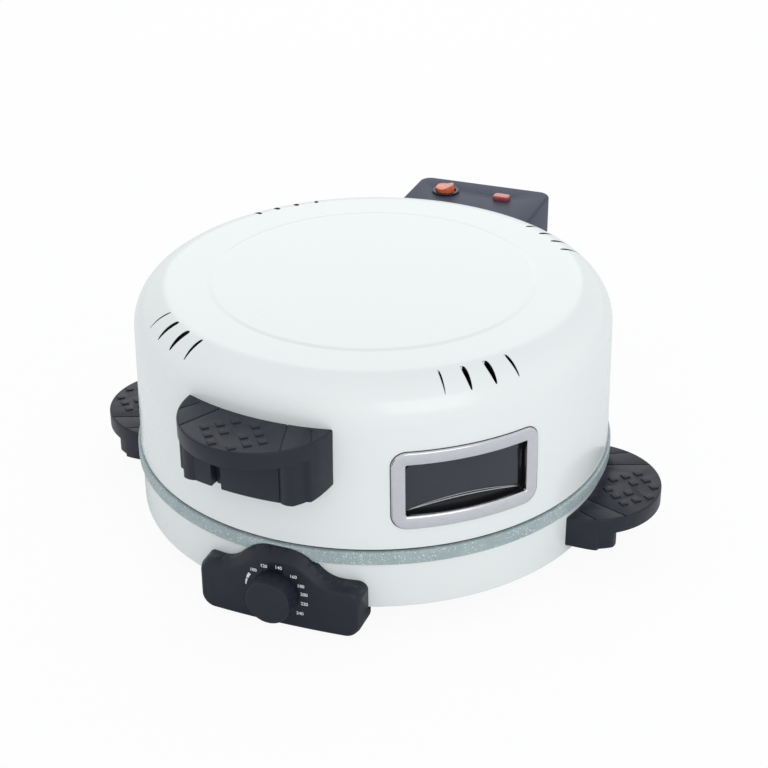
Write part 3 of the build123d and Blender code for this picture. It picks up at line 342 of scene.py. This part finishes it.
def smoked_glass():
    """Toughened glass, slightly smoked."""
    material, tree, shader = new_material("smoked_glass")
    haze = object_noise(tree, 22.0)
    tint(tree, shader, haze, [(0.2, (0.026, 0.031, 0.048)), (0.8, (0.034, 0.040, 0.060))])
    vary(tree, shader, haze, "Roughness", 0.02, 0.05)
    shader.inputs["Transmission Weight"].default_value = 0.35
    shader.inputs["IOR"].default_value = 1.5
    return material


def tinted_plastic(name, low, high, roughness, transmission):
    """Translucent coloured moulding over a light."""
    material, tree, shader = new_material(name)
    cloud = object_noise(tree, 120.0)
    tint(tree, shader, cloud, [(0.3, low), (0.7, high)])
    vary(tree, shader, cloud, "Roughness", roughness * 0.8, roughness * 1.2)
    shader.inputs["Transmission Weight"].default_value = transmission
    shader.inputs["Coat Weight"].default_value = 0.5
    shader.inputs["Coat Roughness"].default_value = 0.08
    return material


def printed_white():
    """Dial print: thin white ink, slightly uneven."""
    material, tree, shader = new_material("printed_white")
    wear = object_noise(tree, 1800.0)
    tint(tree, shader, wear, [(0.3, (0.70, 0.71, 0.72)), (0.6, (0.86, 0.87, 0.88))])
    vary(tree, shader, wear, "Roughness", 0.45, 0.6)
    return material


def matte_soft(name, low, high, roughness):
    material, tree, shader = new_material(name)
    cloud = object_noise(tree, 260.0)
    tint(tree, shader, cloud, [(0.3, low), (0.7, high)])
    add_bump(tree, shader, cloud, 0.1, 0.0001)
    vary(tree, shader, cloud, "Roughness", roughness - 0.05, roughness + 0.05)
    return material


paint = gloss_paint()
granite = granite_coating()
black = moulded_black("satin_black", (0.012, 0.015, 0.024), (0.016, 0.019, 0.030), 0.44, 0.10)
# Rear housing: navy-black moulding made lighter and bluer than the other blacks, partly its own
# tone and partly painted sheen of its lit top
housing_navy_and_sheen = moulded_black(
    "housing_navy_and_sheen", (0.034, 0.042, 0.074), (0.040, 0.049, 0.086), 0.50, 0.10
)
# Gloss black moulding; also the colour of the vent linings, which are painted shade
gloss_black_and_shade = moulded_black("gloss_black_and_shade", (0.006, 0.006, 0.008), (0.009, 0.009, 0.012), 0.24, 0.03)
frame_steel = metal(
    "frame_steel", (0.56, 0.56, 0.60), (0.65, 0.65, 0.69), 0.22, (0.06, 0.06, 1.0), 2600.0
)
bright_sheet = metal(
    "bright_sheet", (0.50, 0.50, 0.51), (0.58, 0.58, 0.59), 0.32, (1, 1, 0.1), 500.0
)
zinc_steel = metal("zinc_steel", (0.48, 0.48, 0.49), (0.58, 0.58, 0.58), 0.34, (1, 1, 1), 700.0)
sheath_steel = metal(
    "sheath_steel", (0.13, 0.125, 0.12), (0.20, 0.19, 0.185), 0.42, (1, 1, 1), 260.0
)
copper = metal("copper_tube", (0.62, 0.34, 0.20), (0.72, 0.42, 0.26), 0.30, (1, 1, 1), 500.0)
glass = smoked_glass()
orange = tinted_plastic("orange_moulding", (0.74, 0.105, 0.03), (0.82, 0.15, 0.045), 0.24, 0.12)
red = tinted_plastic("red_moulding", (0.46, 0.055, 0.05), (0.55, 0.075, 0.065), 0.22, 0.15)
# Silicone rubber for the feet and gaskets; also the colour of the seam and frame rings, which are
# painted shade
rubber_and_shade = matte_soft("silicone_rubber", (0.015, 0.015, 0.016), (0.025, 0.025, 0.027), 0.7)
pale = matte_soft("pale_moulding", (0.62, 0.60, 0.54), (0.70, 0.68, 0.62), 0.6)
ink = printed_white()


# Mesh helpers


def deselect():
    if bpy.context.object and bpy.context.object.mode != "OBJECT":
        bpy.ops.object.mode_set(mode="OBJECT")
    bpy.ops.object.select_all(action="DESELECT")


def activate(piece):
    deselect()
    piece.select_set(True)
    bpy.context.view_layer.objects.active = piece


def edit(piece, kind="VERT"):
    activate(piece)
    bpy.ops.object.mode_set(mode="EDIT")
    bpy.ops.mesh.select_mode(type=kind)


def leave():
    bpy.ops.object.mode_set(mode="OBJECT")


def settle(piece):
    """Puts the piece's place into its mesh."""
    activate(piece)
    bpy.ops.object.transform_apply(location=True, rotation=True, scale=True)


def apply_all(piece):
    activate(piece)
    for modifier in list(piece.modifiers):
        bpy.ops.object.modifier_apply(modifier=modifier.name)


def smooth(piece, angle=32.0):
    activate(piece)
    bpy.ops.object.shade_smooth_by_angle(angle=math.radians(angle))


def finish_piece(piece, name, material, body, stands_for=()):
    piece.name = name
    piece.data.name = name
    piece.data.materials.clear()
    piece.data.materials.append(material)
    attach(piece, body)
    if stands_for:
        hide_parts(*stands_for)


def bevel(piece, width, segments=2, angle=35.0):
    modifier = piece.modifiers.new("edges", "BEVEL")
    modifier.width = width
    modifier.segments = segments
    modifier.limit_method = "ANGLE"
    modifier.angle_limit = math.radians(angle)
    modifier.use_clamp_overlap = True


def cut(piece, cutter):
    """Cuts one mesh out of another and removes the cutter."""
    modifier = piece.modifiers.new("cut", "BOOLEAN")
    modifier.operation = "DIFFERENCE"
    modifier.object = cutter
    modifier.solver = "EXACT"
    apply_all(piece)
    bpy.data.objects.remove(cutter)


def rounded(corners, step=math.radians(7.5)):
    """Points of an open outline from (radius, height, corner radius), its corners as arcs."""
    points = []
    for index, (x, z, corner) in enumerate(corners):
        here = Vector((x, z))
        if corner <= 0 or index in (0, len(corners) - 1):
            points.append(here)
            continue
        before = (Vector(corners[index - 1][:2]) - here).normalized()
        after = (Vector(corners[index + 1][:2]) - here).normalized()
        half = before.angle(after) / 2
        centre = here + (before + after).normalized() * corner / math.sin(half)
        start = here + before * corner / math.tan(half) - centre
        turn = start.angle_signed(here + after * corner / math.tan(half) - centre)
        count = max(2, round(abs(turn) / step))
        for part in range(count + 1):
            arm = start.copy()
            arm.rotate(Matrix.Rotation(-turn * part / count, 2))
            points.append(centre + arm)
    return points


def turned(corners, fill="NOTHING"):
    """A sheet turned about the drum's axis: a ring extruded and resized along an outline."""
    points = rounded(corners)
    first = points[0]
    bpy.ops.mesh.primitive_circle_add(
        vertices=turns, radius=first.x, fill_type=fill, location=(axis_x, axis_y, first.y),
    )
    piece = bpy.context.object
    settle(piece)
    edit(piece, "EDGE")
    bpy.ops.mesh.select_all(action="SELECT")
    radius, height = first
    for point in points[1:]:
        bpy.ops.mesh.extrude_edges_move()
        bpy.ops.transform.translate(value=(0, 0, point.y - height))
        radius_next = max(point.x, weld)
        share = radius_next / radius
        bpy.ops.transform.resize(value=(share, share, 1), center_override=(axis_x, axis_y, point.y))
        radius, height = radius_next, point.y
    if points[-1].x <= weld:
        bpy.ops.mesh.merge(type="CENTER")
    leave()
    return piece


def face_outwards(piece):
    """Turns a sheet's faces so that the outermost one looks away from the drum's axis."""
    edit(piece)
    bpy.ops.mesh.select_all(action="SELECT")
    bpy.ops.mesh.normals_make_consistent(inside=False)
    leave()
    axis = Vector((axis_x, axis_y, 0))
    outermost = max(piece.data.polygons, key=lambda face: (face.center - axis).xy.length)
    arm = outermost.center - axis
    arm.z = 0
    if arm.dot(outermost.normal) < 0:
        edit(piece)
        bpy.ops.mesh.select_all(action="SELECT")
        bpy.ops.mesh.flip_normals()
        leave()


def give_wall(piece, wall, offset=-1.0):
    """Gives a sheet its thickness, behind its faces, or in front of them with an offset of 1."""
    modifier = piece.modifiers.new("wall", "SOLIDIFY")
    modifier.thickness = wall
    modifier.offset = offset
    apply_all(piece)


def thicken(piece, wall, offset=-1.0):
    """Turns a sheet's faces away from the drum's axis and gives it its thickness."""
    face_outwards(piece)
    give_wall(piece, wall, offset)


def slice_across(width, columns):
    """Cuts the mesh being edited into equal columns along x, so that it can bend."""
    for index in range(1, columns):
        place = width * (index / columns - 0.5)
        bpy.ops.mesh.select_all(action="SELECT")
        bpy.ops.mesh.bisect(plane_co=(place, 0, 0), plane_no=(1, 0, 0))


def turn_about_axis(piece, azimuth):
    """Turns a mesh about the drum's axis."""
    centre = Matrix.Translation((axis_x, axis_y, 0))
    turn = Matrix.Rotation(math.radians(azimuth), 4, "Z")
    piece.data.transform(centre @ turn @ centre.inverted())


def on_wall(azimuth, along, height, radius):
    """A point on a round wall, a distance along it from an azimuth."""
    angle = math.radians(azimuth) + along / radius
    return Vector((axis_x + radius * math.sin(angle), axis_y - radius * math.cos(angle), height))


def wall_radius(height):
    """Radius of the lid's outer wall at a height."""
    return lid_radius - lid_draft * (height - seam) / (lid_top - seam)


def shoulder_height(radius):
    """Height of the lid's outer surface over the shoulder, at a radius."""
    centre_radius = wall_radius(lid_top) - lid_shoulder
    across = min(max(radius - centre_radius, 0.0), lid_shoulder)
    return lid_top - lid_shoulder + math.sqrt(lid_shoulder**2 - across**2)


def dressed(node, material, body, edge=0.0, segments=2, angle=32.0, joined=True):
    """A CAD node's own shape, softened and smoothed, its flat faces joined unless told not to."""
    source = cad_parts[node]
    piece = bpy.data.objects.new(node + "_dressed", source.data.copy())
    bpy.context.scene.collection.objects.link(piece)
    edit(piece)
    bpy.ops.mesh.select_all(action="SELECT")
    bpy.ops.mesh.remove_doubles(threshold=weld)
    if joined:
        bpy.ops.mesh.dissolve_limited(angle_limit=math.radians(0.5))
    leave()
    if edge:
        bevel(piece, edge, segments)
        apply_all(piece)
    smooth(piece, angle)
    finish_piece(piece, piece.name, material, body, (node,))


# Lid


def window_block(border, near, far):
    """A rounded block through the wall at the window, wider than its opening by a border."""
    depth = far - near
    middle = (far + near) / 2
    place = on_wall(window_azimuth, 0, window_centre, middle)
    bpy.ops.mesh.primitive_cube_add(
        size=1, location=place, rotation=(0, 0, math.radians(window_azimuth))
    )
    block = bpy.context.object
    block.scale = (window_width + 2 * border, depth, window_height + 2 * border)
    bpy.ops.object.transform_apply(location=False, rotation=False, scale=True)
    edit(block, "EDGE")
    bpy.ops.mesh.select_all(action="DESELECT")
    leave()
    for line in block.data.edges:
        a, b = (block.data.vertices[index].co for index in line.vertices)
        line.select = abs(a.y - b.y) > depth / 2
    edit(block, "EDGE")
    bpy.ops.mesh.bevel(offset=window_corner + border * corner_growth, segments=8, affect="EDGES")
    leave()
    settle(block)
    return block


def vent_half(width, along):
    """Half of a vent's width at a share of its length, from its inner end."""
    fullness = max(1 - (2 * along - 1) ** 2, 0.0) ** vent_fullness
    return width / 2 * (vent_inner_share - vent_taper * along) * fullness


def vent_outline(width, inner, caps):
    """An upright tube with a vent's outline from an inner radius, its ends at -1 and 1."""
    bpy.ops.mesh.primitive_cylinder_add(
        vertices=40, radius=1, depth=2, location=(0, 0, 0), end_fill_type=caps
    )
    tube = bpy.context.object
    for point in tube.data.vertices:
        along = 0.5 - point.co.y / 2
        side = 1 if point.co.x > 0 else -1
        point.co.x = axis_x + side * vent_half(width, along)
        point.co.y = axis_y - inner - vent_length * along
    return tube


def vent_slot(width, inner):
    """A cutter for one vent: a tapered slot along the radius, wide at its inner end."""
    slot = vent_outline(width, inner, "NGON")
    for point in slot.data.vertices:
        point.co.z = lid_top - lid_shoulder if point.co.z < 0 else lid_top + 2 * mm
    return slot


def vent_edge(width, inner):
    """A black lining inside a vent below the surface, painted shade for the shadowed slot."""
    lining = vent_outline(width - 2 * vent_shade_lining_gap, inner, "NOTHING")
    for point in lining.data.vertices:
        level = shoulder_height(axis_y - point.co.y) - vent_shade_lining_drop
        point.co.z = level - (vent_shade_lining_depth if point.co.z < 0 else 0)
    thicken(lining, vent_shade_lining_wall)
    return lining


def vent_flap(width, inner, hand):
    """The pressed-down flap along a vent's side: hand is 1 for the side of lower azimuth."""
    bpy.ops.mesh.primitive_grid_add(x_subdivisions=8, y_subdivisions=24, size=1)
    flap = bpy.context.object
    for point in flap.data.vertices:
        along = point.co.y + 0.5
        across = point.co.x + 0.5
        radius = inner + vent_length * (flap_end_gap + (1 - 2 * flap_end_gap) * along)
        half = vent_half(width, along)
        drop = flap_steepness * half * across**flap_curl + flap_drop
        side = hand * (flap_reach * across - flap_overlap) * half
        point.co = (axis_x + side, axis_y - radius, shoulder_height(radius) - drop)
    give_wall(flap, flap_wall)
    return flap


def make_lid_shell():
    flange = liner_radius - flange_overlap
    inset_radius = lid_radius - seam_inset
    shell = turned(
        [
            (flange, seam, 0),
            (inset_radius, seam, 0),
            (inset_radius, seam + seam_rise, 0),
            (lid_radius, seam + seam_rise, lid_edge_corner),
            (wall_radius(lid_top), lid_top, lid_shoulder),
            (crown_radius + crown_blend, lid_top, crown_blend),
            (crown_radius, crown_top, crown_blend),
            (0, crown_top, 0),
        ]
    )
    thicken(shell, lid_wall)
    cut(shell, window_block(opening_border, lid_radius * 0.7, lid_radius * 1.1))
    flaps, edges = [], []
    for azimuth, inner, widths, hand in vent_groups:
        for index, width in enumerate(widths):
            turn = azimuth + (index - 1.5) * vent_pitch
            slot = vent_slot(width, inner)
            flaps.append(vent_flap(width, inner, hand))
            edges.append(vent_edge(width, inner))
            for piece in (slot, flaps[-1], edges[-1]):
                turn_about_axis(piece, turn)
            cut(shell, slot)
    smooth(shell, 28)
    finish_piece(shell, "lid_shell_painted", paint, "lid", ("lid_shell",))
    for index, flap in enumerate(flaps):
        smooth(flap, 40)
        finish_piece(flap, f"vent_flap_{index:02d}", paint, "lid")
    # Black linings in the vents: painted shade that darkens the slots
    for index, edge in enumerate(edges):
        finish_piece(edge, f"vent_edge_{index:02d}", gloss_black_and_shade, "lid")


def make_seam_seal():
    """A black ring in the recess along the lid's lower edge, painted shade for the shadow line at
    the seam.
    """
    outer = lid_radius - seam_inset
    low, high = seam + shade_ring_gap, seam + seam_rise - shade_ring_gap
    shade_ring = turned(
        [
            (outer - shade_ring_depth, low, 0),
            (outer + shade_ring_proud, low, shade_ring_corner),
            (outer + shade_ring_proud, high, shade_ring_corner),
            (outer - shade_ring_depth, high, 0),
        ]
    )
    smooth(shade_ring, 60)
    finish_piece(shade_ring, "lid_seam_shade_ring", rubber_and_shade, "lid")


def window_ring(outer_border, section):
    """A ring round the window, wrapped on the wall, by steps of (distance inwards, level)."""
    width = window_width + 2 * outer_border
    height = window_height + 2 * outer_border
    bpy.ops.mesh.primitive_plane_add(size=1)
    ring = bpy.context.object
    ring.scale = (width, height, 1)
    settle(ring)
    edit(ring)
    bpy.ops.mesh.select_all(action="SELECT")
    corner = window_corner + outer_border * corner_growth
    bpy.ops.mesh.bevel(offset=corner, segments=12, affect="VERTICES")
    bpy.ops.mesh.select_mode(type="FACE")
    bpy.ops.mesh.select_all(action="SELECT")
    before_inset, before_level = 0.0, 0.0
    for inset, level in section:
        bpy.ops.mesh.inset(thickness=inset - before_inset, depth=level - before_level)
        before_inset, before_level = inset, level
    bpy.ops.mesh.delete(type="FACE")
    slice_across(width, bend_columns)
    leave()
    for point in ring.data.vertices:
        level = window_centre + point.co.y
        point.co = on_wall(window_azimuth, point.co.x, level, wall_radius(level) + point.co.z)
    smooth(ring, 50)
    return ring


def make_window_frame():
    """A pressed steel frame with a rolled section, its dark lip, and a thin black ring round it,
    painted shade for the shadow gap at the frame's outer edge.
    """
    rise = window_frame_rise
    border = window_border
    frame_ring = window_ring(border, (
        (0.1 * mm, 0.35 * rise), (0.3 * mm, 0.70 * rise), (0.8 * mm, 0.93 * rise), (1.5 * mm, rise),
        (6.0 * mm, 0.97 * rise), (border - 2.0 * mm, 0.84 * rise), (border - 1.0 * mm, 0.72 * rise),
        (border - 0.4 * mm, 0.50 * rise), (border, 0.20 * rise), (border + 0.1 * mm, -0.5 * mm),
    ))
    finish_piece(
        frame_ring, "window_frame_pressed", frame_steel, "lid", ("window_frame",)
    )
    lip = window_ring(0.05 * mm, ((0.1 * mm, -0.3 * mm), (0.15 * mm, -lid_wall - window_reveal)))
    finish_piece(lip, "window_frame_lip", gloss_black_and_shade, "lid")
    # Thin black ring round the frame: painted shade for the shadow gap along its outer edge
    frame_shade_ring = window_ring(border + 0.5 * mm, (
        (0.1 * mm, 0.3 * mm), (0.5 * mm, 0.4 * mm), (1.2 * mm, 0.3 * mm), (1.3 * mm, -0.1 * mm),
    ))
    finish_piece(frame_shade_ring, "window_frame_shade_ring", rubber_and_shade, "lid")


def glass_strip(name, material, span, low, high, lift):
    """A thin strip on the glass between two heights that follow from the share across."""
    bpy.ops.mesh.primitive_grid_add(x_subdivisions=56, y_subdivisions=3, size=1)
    strip = bpy.context.object
    for point in strip.data.vertices:
        place = span[0] + (span[1] - span[0]) * (point.co.x + 0.5)
        share = place / (window_width / 2)
        level = window_centre + low(share) + (high(share) - low(share)) * (point.co.y + 0.5)
        radius = wall_radius(level) - lid_wall - window_reveal
        point.co = on_wall(window_azimuth, place, level, radius)
    thicken(strip, lift, 1.0)
    smooth(strip, 50)
    finish_piece(strip, name, material, "lid")


def make_window_trim():
    """The black band over the glass's lower edge, two bright beads above it and a side clip."""
    half = window_width / 2
    sill = -window_height / 2

    def crest(share, rise):
        return sill + band_foot + rise * (1 - share**2)

    glass_strip(
        "window_lower_band", gloss_black_and_shade, (-half, half),
        lambda share: sill, lambda share: crest(share, band_rise), band_lift,
    )
    for name, rise, width in window_beads:
        glass_strip(
            name, bright_sheet, [half * end for end in bead_span],
            lambda share: crest(share, rise), lambda share: crest(share, rise) + width, bead_lift,
        )
    glass_strip(
        "window_side_band", gloss_black_and_shade, (half - side_band_width, half),
        lambda share: sill, lambda share: -sill, side_band_lift,
    )
    glass_strip(
        "window_side_clip", frame_steel, [half - inset for inset in clip_inset],
        lambda share: clip_span[0], lambda share: clip_span[1], clip_lift,
    )


def make_handle_web():
    """The lid handle's front web along the wall, with a rounded end and a hollow near one post."""
    bpy.ops.mesh.primitive_cube_add(size=1)
    web = bpy.context.object
    edit(web)
    slice_across(1.0, web_columns)
    leave()
    front = wall_radius(handle_bottom) + web_reach
    start, end = web_span
    for point in web.data.vertices:
        along = start + (end - start) * (point.co.x + 0.5)
        level = handle_bottom + web_lift
        if point.co.z > 0:
            level += web_height
        else:
            near = min(max(start + web_corner - along, 0.0), web_corner)
            level += web_corner - math.sqrt(web_corner**2 - near**2)
        reach = front if point.co.y < 0 else front - web_depth
        point.co = (axis_x + along, axis_y - math.sqrt(reach**2 - along**2), level)
    place = Vector((axis_x, axis_y - front, handle_bottom)) + Vector(hollow_place)
    bpy.ops.mesh.primitive_cube_add(size=1, location=place)
    hollow = bpy.context.object
    hollow.scale = hollow_size
    settle(hollow)
    cut(web, hollow)
    bevel(web, web_edge)
    apply_all(web)
    smooth(web, 32)
    turn_about_axis(web, handle_azimuth)
    finish_piece(web, "lid_handle_web", black, "lid")


# Base and pan


def make_base_shell():
    shell = turned(
        [
            (base_radius - base_flange, base_bottom, 0),
            (base_radius, base_bottom, base_corner),
            (base_radius, base_top - base_lip_height, lip_corner),
            (base_radius + base_lip, base_top - base_lip_height, lip_corner),
            (base_radius + base_lip, base_top, lip_corner),
            (base_radius - base_shelf, base_top, 0),
        ]
    )
    thicken(shell, base_wall)
    smooth(shell, 40)
    finish_piece(shell, "base_shell_painted", paint, "base", ("base_shell",))


def make_pan():
    floor = pan_top - pan_depth
    pan = turned(
        [
            (pan_floor_radius - pan_disc_inset, floor - pan_floor_wall, 0),
            (pan_floor_radius + pan_wall, floor - pan_floor_wall, pan_heel_corner),
            (pan_mouth + pan_wall, pan_top - pan_wall, pan_bend_corner),
            (pan_radius - pan_wall, pan_top - pan_wall, pan_bend_corner),
            (pan_radius - pan_wall, base_top, pan_seat_corner),
            (pan_radius, base_top, pan_skirt_corner),
            (pan_radius, pan_top, pan_rim_corner),
            (pan_mouth, pan_top, pan_rim_corner),
            (pan_floor_radius, floor, pan_foot_corner),
            (0, floor, 0),
        ],
        fill="NGON",
    )
    edit(pan)
    bpy.ops.mesh.select_all(action="SELECT")
    bpy.ops.mesh.remove_doubles(threshold=weld)
    bpy.ops.mesh.normals_make_consistent(inside=False)
    leave()
    smooth(pan, 40)
    finish_piece(pan, "baking_pan_coated", granite, "base", ("baking_pan",))


# Dial print


def on_panel(x, z):
    """A point on the panel's bowed face, just proud of it, and the face's turn there."""
    lean = math.asin(x / panel_bow)
    reach = panel_reach - panel_bow * (1 - math.cos(lean))
    return Vector((axis_x + x, axis_y - reach - print_lift, z)), lean


def make_numeral(words, x, z, name):
    bpy.ops.object.text_add(location=(0, 0, 0))
    text = bpy.context.object
    text.data.body = words
    text.data.size = numeral_height
    text.data.align_x = "CENTER"
    text.data.align_y = "CENTER"
    text.data.extrude = numeral_depth
    text.data.offset = numeral_weight
    bpy.ops.object.convert(target="MESH")
    numeral = bpy.context.object
    place, lean = on_panel(x, z)
    upright = Matrix.Rotation(lean, 4, "Z") @ Matrix.Rotation(math.pi / 2, 4, "X")
    numeral.data.transform(Matrix.Translation(place) @ upright)
    finish_piece(numeral, name, ink, "base")


def dial_place(degrees, radius):
    """A place on the panel's face, at an angle and radius on the dial."""
    angle = math.radians(degrees)
    return (
        dial_offset[0] + radius * math.sin(angle),
        knob_centre + dial_offset[1] + radius * math.cos(angle),
    )


def make_dial_mark(name, start, end, width_start, width_end):
    """A tapered arc of white print between two angles on the dial."""
    bpy.ops.mesh.primitive_grid_add(x_subdivisions=10, y_subdivisions=2, size=1)
    mark = bpy.context.object
    for point in mark.data.vertices:
        share = point.co.x + 0.5
        width = width_start + (width_end - width_start) * share
        degrees = start + (end - start) * share
        point.co, _ = on_panel(*dial_place(degrees, dial_radius + width * point.co.y))
    finish_piece(mark, name, ink, "base")


def make_dial_print():
    readings = [str(value) for value in range(100, 250, 20)]
    for degrees, words in zip(dial_angles, readings):
        make_numeral(words, *dial_place(degrees, dial_radius), "numeral_" + words)
    for mark in dial_marks:
        make_dial_mark(*mark)


make_lid_shell()
make_seam_seal()
make_window_frame()
make_window_trim()
make_handle_web()
make_base_shell()
make_pan()
make_dial_print()

dressed("lid_handle", black, "lid", 0.5 * mm)
for node in ("side_handle_left", "side_handle_right", "terminal_box", "cord_gland"):
    dressed(node, black, "base", 0.5 * mm)
dressed("control_panel", black, "base", angle=60.0, joined=False)
dressed("knob", black, "knob", 0.3 * mm)
dressed("knob_shaft", zinc_steel, "knob", 0.3 * mm)
# The rear housing's lighter colour is partly painted sheen
dressed("rear_housing", housing_navy_and_sheen, "lid", 0.4 * mm, joined=False)
dressed("rear_housing_base", housing_navy_and_sheen, "lid", 0.3 * mm)
dressed("switch_bezel", gloss_black_and_shade, "lid")
dressed("switch_body", black, "lid")
dressed("lamp_holder", black, "lid")
dressed("switch_rocker", orange, "rocker", 0.4 * mm, 3)
dressed("lamp_lens", red, "lid", 0.3 * mm, 3)
dressed("window_glass", glass, "lid")
dressed("window_gasket", rubber_and_shade, "lid")
dressed("window_retainer", bright_sheet, "lid")
dressed("lid_liner", bright_sheet, "lid")
dressed("lower_reflector", bright_sheet, "base")
dressed("bottom_plate", bright_sheet, "base")
dressed("lower_heater", sheath_steel, "base")
dressed("upper_heater", sheath_steel, "lid")
dressed("lower_heater_clips", bright_sheet, "base")
dressed("upper_heater_clips", bright_sheet, "lid")
dressed("base_hinge_bracket", zinc_steel, "base", 0.3 * mm)
dressed("lid_hinge_bracket", zinc_steel, "lid", 0.3 * mm)
dressed("feet", rubber_and_shade, "base")
dressed("terminal_block", pale, "base", 0.4 * mm)
dressed("thermostat", black, "base")
dressed("thermostat_nut", zinc_steel, "base", 0.2 * mm)
dressed("thermostat_bulb", copper, "base")
dressed("bulb_clip", bright_sheet, "base")
for node in (
    "foot_screws", "bottom_plate_screws", "side_handle_screws", "panel_screws", "base_hinge_screws",
    "hinge_pin", "hinge_pin_clip", "terminal_box_screws",
):
    dressed(node, zinc_steel, "base")
for node in ("lid_handle_screws", "lid_hinge_screws", "rear_housing_screws"):
    dressed(node, zinc_steel, "lid")


# Stage, light and camera


def make_floor():
    bpy.ops.mesh.primitive_plane_add(size=floor_size, location=(0, 0, 0))
    floor = bpy.context.object
    floor.name = "floor"
    material, tree, shader = new_material("floor_paper")
    shader.inputs["Base Color"].default_value = floor_shade
    shader.inputs["Roughness"].default_value = 0.9
    lit = tree.nodes.new("ShaderNodeEmission")
    lit.inputs["Color"].default_value = (1, 1, 1, 1)
    rays = tree.nodes.new("ShaderNodeLightPath")
    share = tree.nodes.new("ShaderNodeMath")
    share.operation = "MULTIPLY"
    share.inputs[1].default_value = floor_white
    mix = tree.nodes.new("ShaderNodeMixShader")
    tree.links.new(rays.outputs["Is Camera Ray"], share.inputs[0])
    tree.links.new(share.outputs["Value"], mix.inputs["Fac"])
    tree.links.new(shader.outputs["BSDF"], mix.inputs[1])
    tree.links.new(lit.outputs["Emission"], mix.inputs[2])
    tree.links.new(mix.outputs["Shader"], tree.nodes["Material Output"].inputs["Surface"])
    floor.data.materials.append(material)


def make_world():
    world = bpy.data.worlds.new("studio")
    bpy.context.scene.world = world
    world.use_nodes = True
    tree = world.node_tree
    soft = tree.nodes["Background"]
    soft.inputs["Color"].default_value = sky_colour
    soft.inputs["Strength"].default_value = sky_strength
    white = tree.nodes.new("ShaderNodeBackground")
    white.inputs["Color"].default_value = (1, 1, 1, 1)
    white.inputs["Strength"].default_value = 1.0
    rays = tree.nodes.new("ShaderNodeLightPath")
    seen = tree.nodes.new("ShaderNodeMath")
    seen.operation = "MAXIMUM"
    both = tree.nodes.new("ShaderNodeMath")
    both.operation = "MAXIMUM"
    mix = tree.nodes.new("ShaderNodeMixShader")
    tree.links.new(rays.outputs["Is Camera Ray"], seen.inputs[0])
    tree.links.new(rays.outputs["Is Glossy Ray"], seen.inputs[1])
    tree.links.new(seen.outputs["Value"], both.inputs[0])
    tree.links.new(rays.outputs["Is Transmission Ray"], both.inputs[1])
    tree.links.new(both.outputs["Value"], mix.inputs["Fac"])
    tree.links.new(soft.outputs["Background"], mix.inputs[1])
    tree.links.new(white.outputs["Background"], mix.inputs[2])
    tree.links.new(mix.outputs["Shader"], tree.nodes["World Output"].inputs["Surface"])


def make_lamp(name, place, size, power):
    data = bpy.data.lights.new(name, "AREA")
    data.shape = "RECTANGLE"
    data.size, data.size_y = size
    data.energy = power
    lamp = bpy.data.objects.new(name, data)
    bpy.context.scene.collection.objects.link(lamp)
    lamp.location = place
    aim = Vector(lamp_target) - Vector(place)
    lamp.rotation_euler = aim.to_track_quat("-Z", "Y").to_euler()
    lamp.visible_camera = False


def make_camera():
    azimuth, elevation = math.radians(camera_azimuth), math.radians(camera_elevation)
    roll = math.radians(camera_roll)
    target = Vector((axis_x, axis_y, target_height))
    back = Vector(
        (
            math.sin(azimuth) * math.cos(elevation),
            -math.cos(azimuth) * math.cos(elevation),
            math.sin(elevation),
        )
    )
    right = Vector((math.cos(azimuth), math.sin(azimuth), 0))
    up = back.cross(right)
    turned_right = right * math.cos(roll) + up * math.sin(roll)
    turned_up = back.cross(turned_right)
    data = bpy.data.cameras.new("camera")
    data.sensor_width = sensor_width
    data.lens = sensor_width * focal_pixels / frame_pixels
    data.shift_x = 0.5 - view_centre[0] / frame_pixels
    data.shift_y = view_centre[1] / frame_pixels - 0.5
    camera = bpy.data.objects.new("camera", data)
    bpy.context.scene.collection.objects.link(camera)
    camera.matrix_world = Matrix.Translation(target + back * camera_distance) @ Matrix(
        (turned_right, turned_up, back)
    ).transposed().to_4x4()
    bpy.context.scene.camera = camera


make_floor()
make_world()
make_lamp("key", (1.15, -1.2, 0.95), (1.2, 1.0), 5)
make_lamp("back", (-0.71, 1.80, 1.15), (1.6, 1.0), 3.5)
make_camera()
bpy.context.scene.view_settings.view_transform = "Standard"
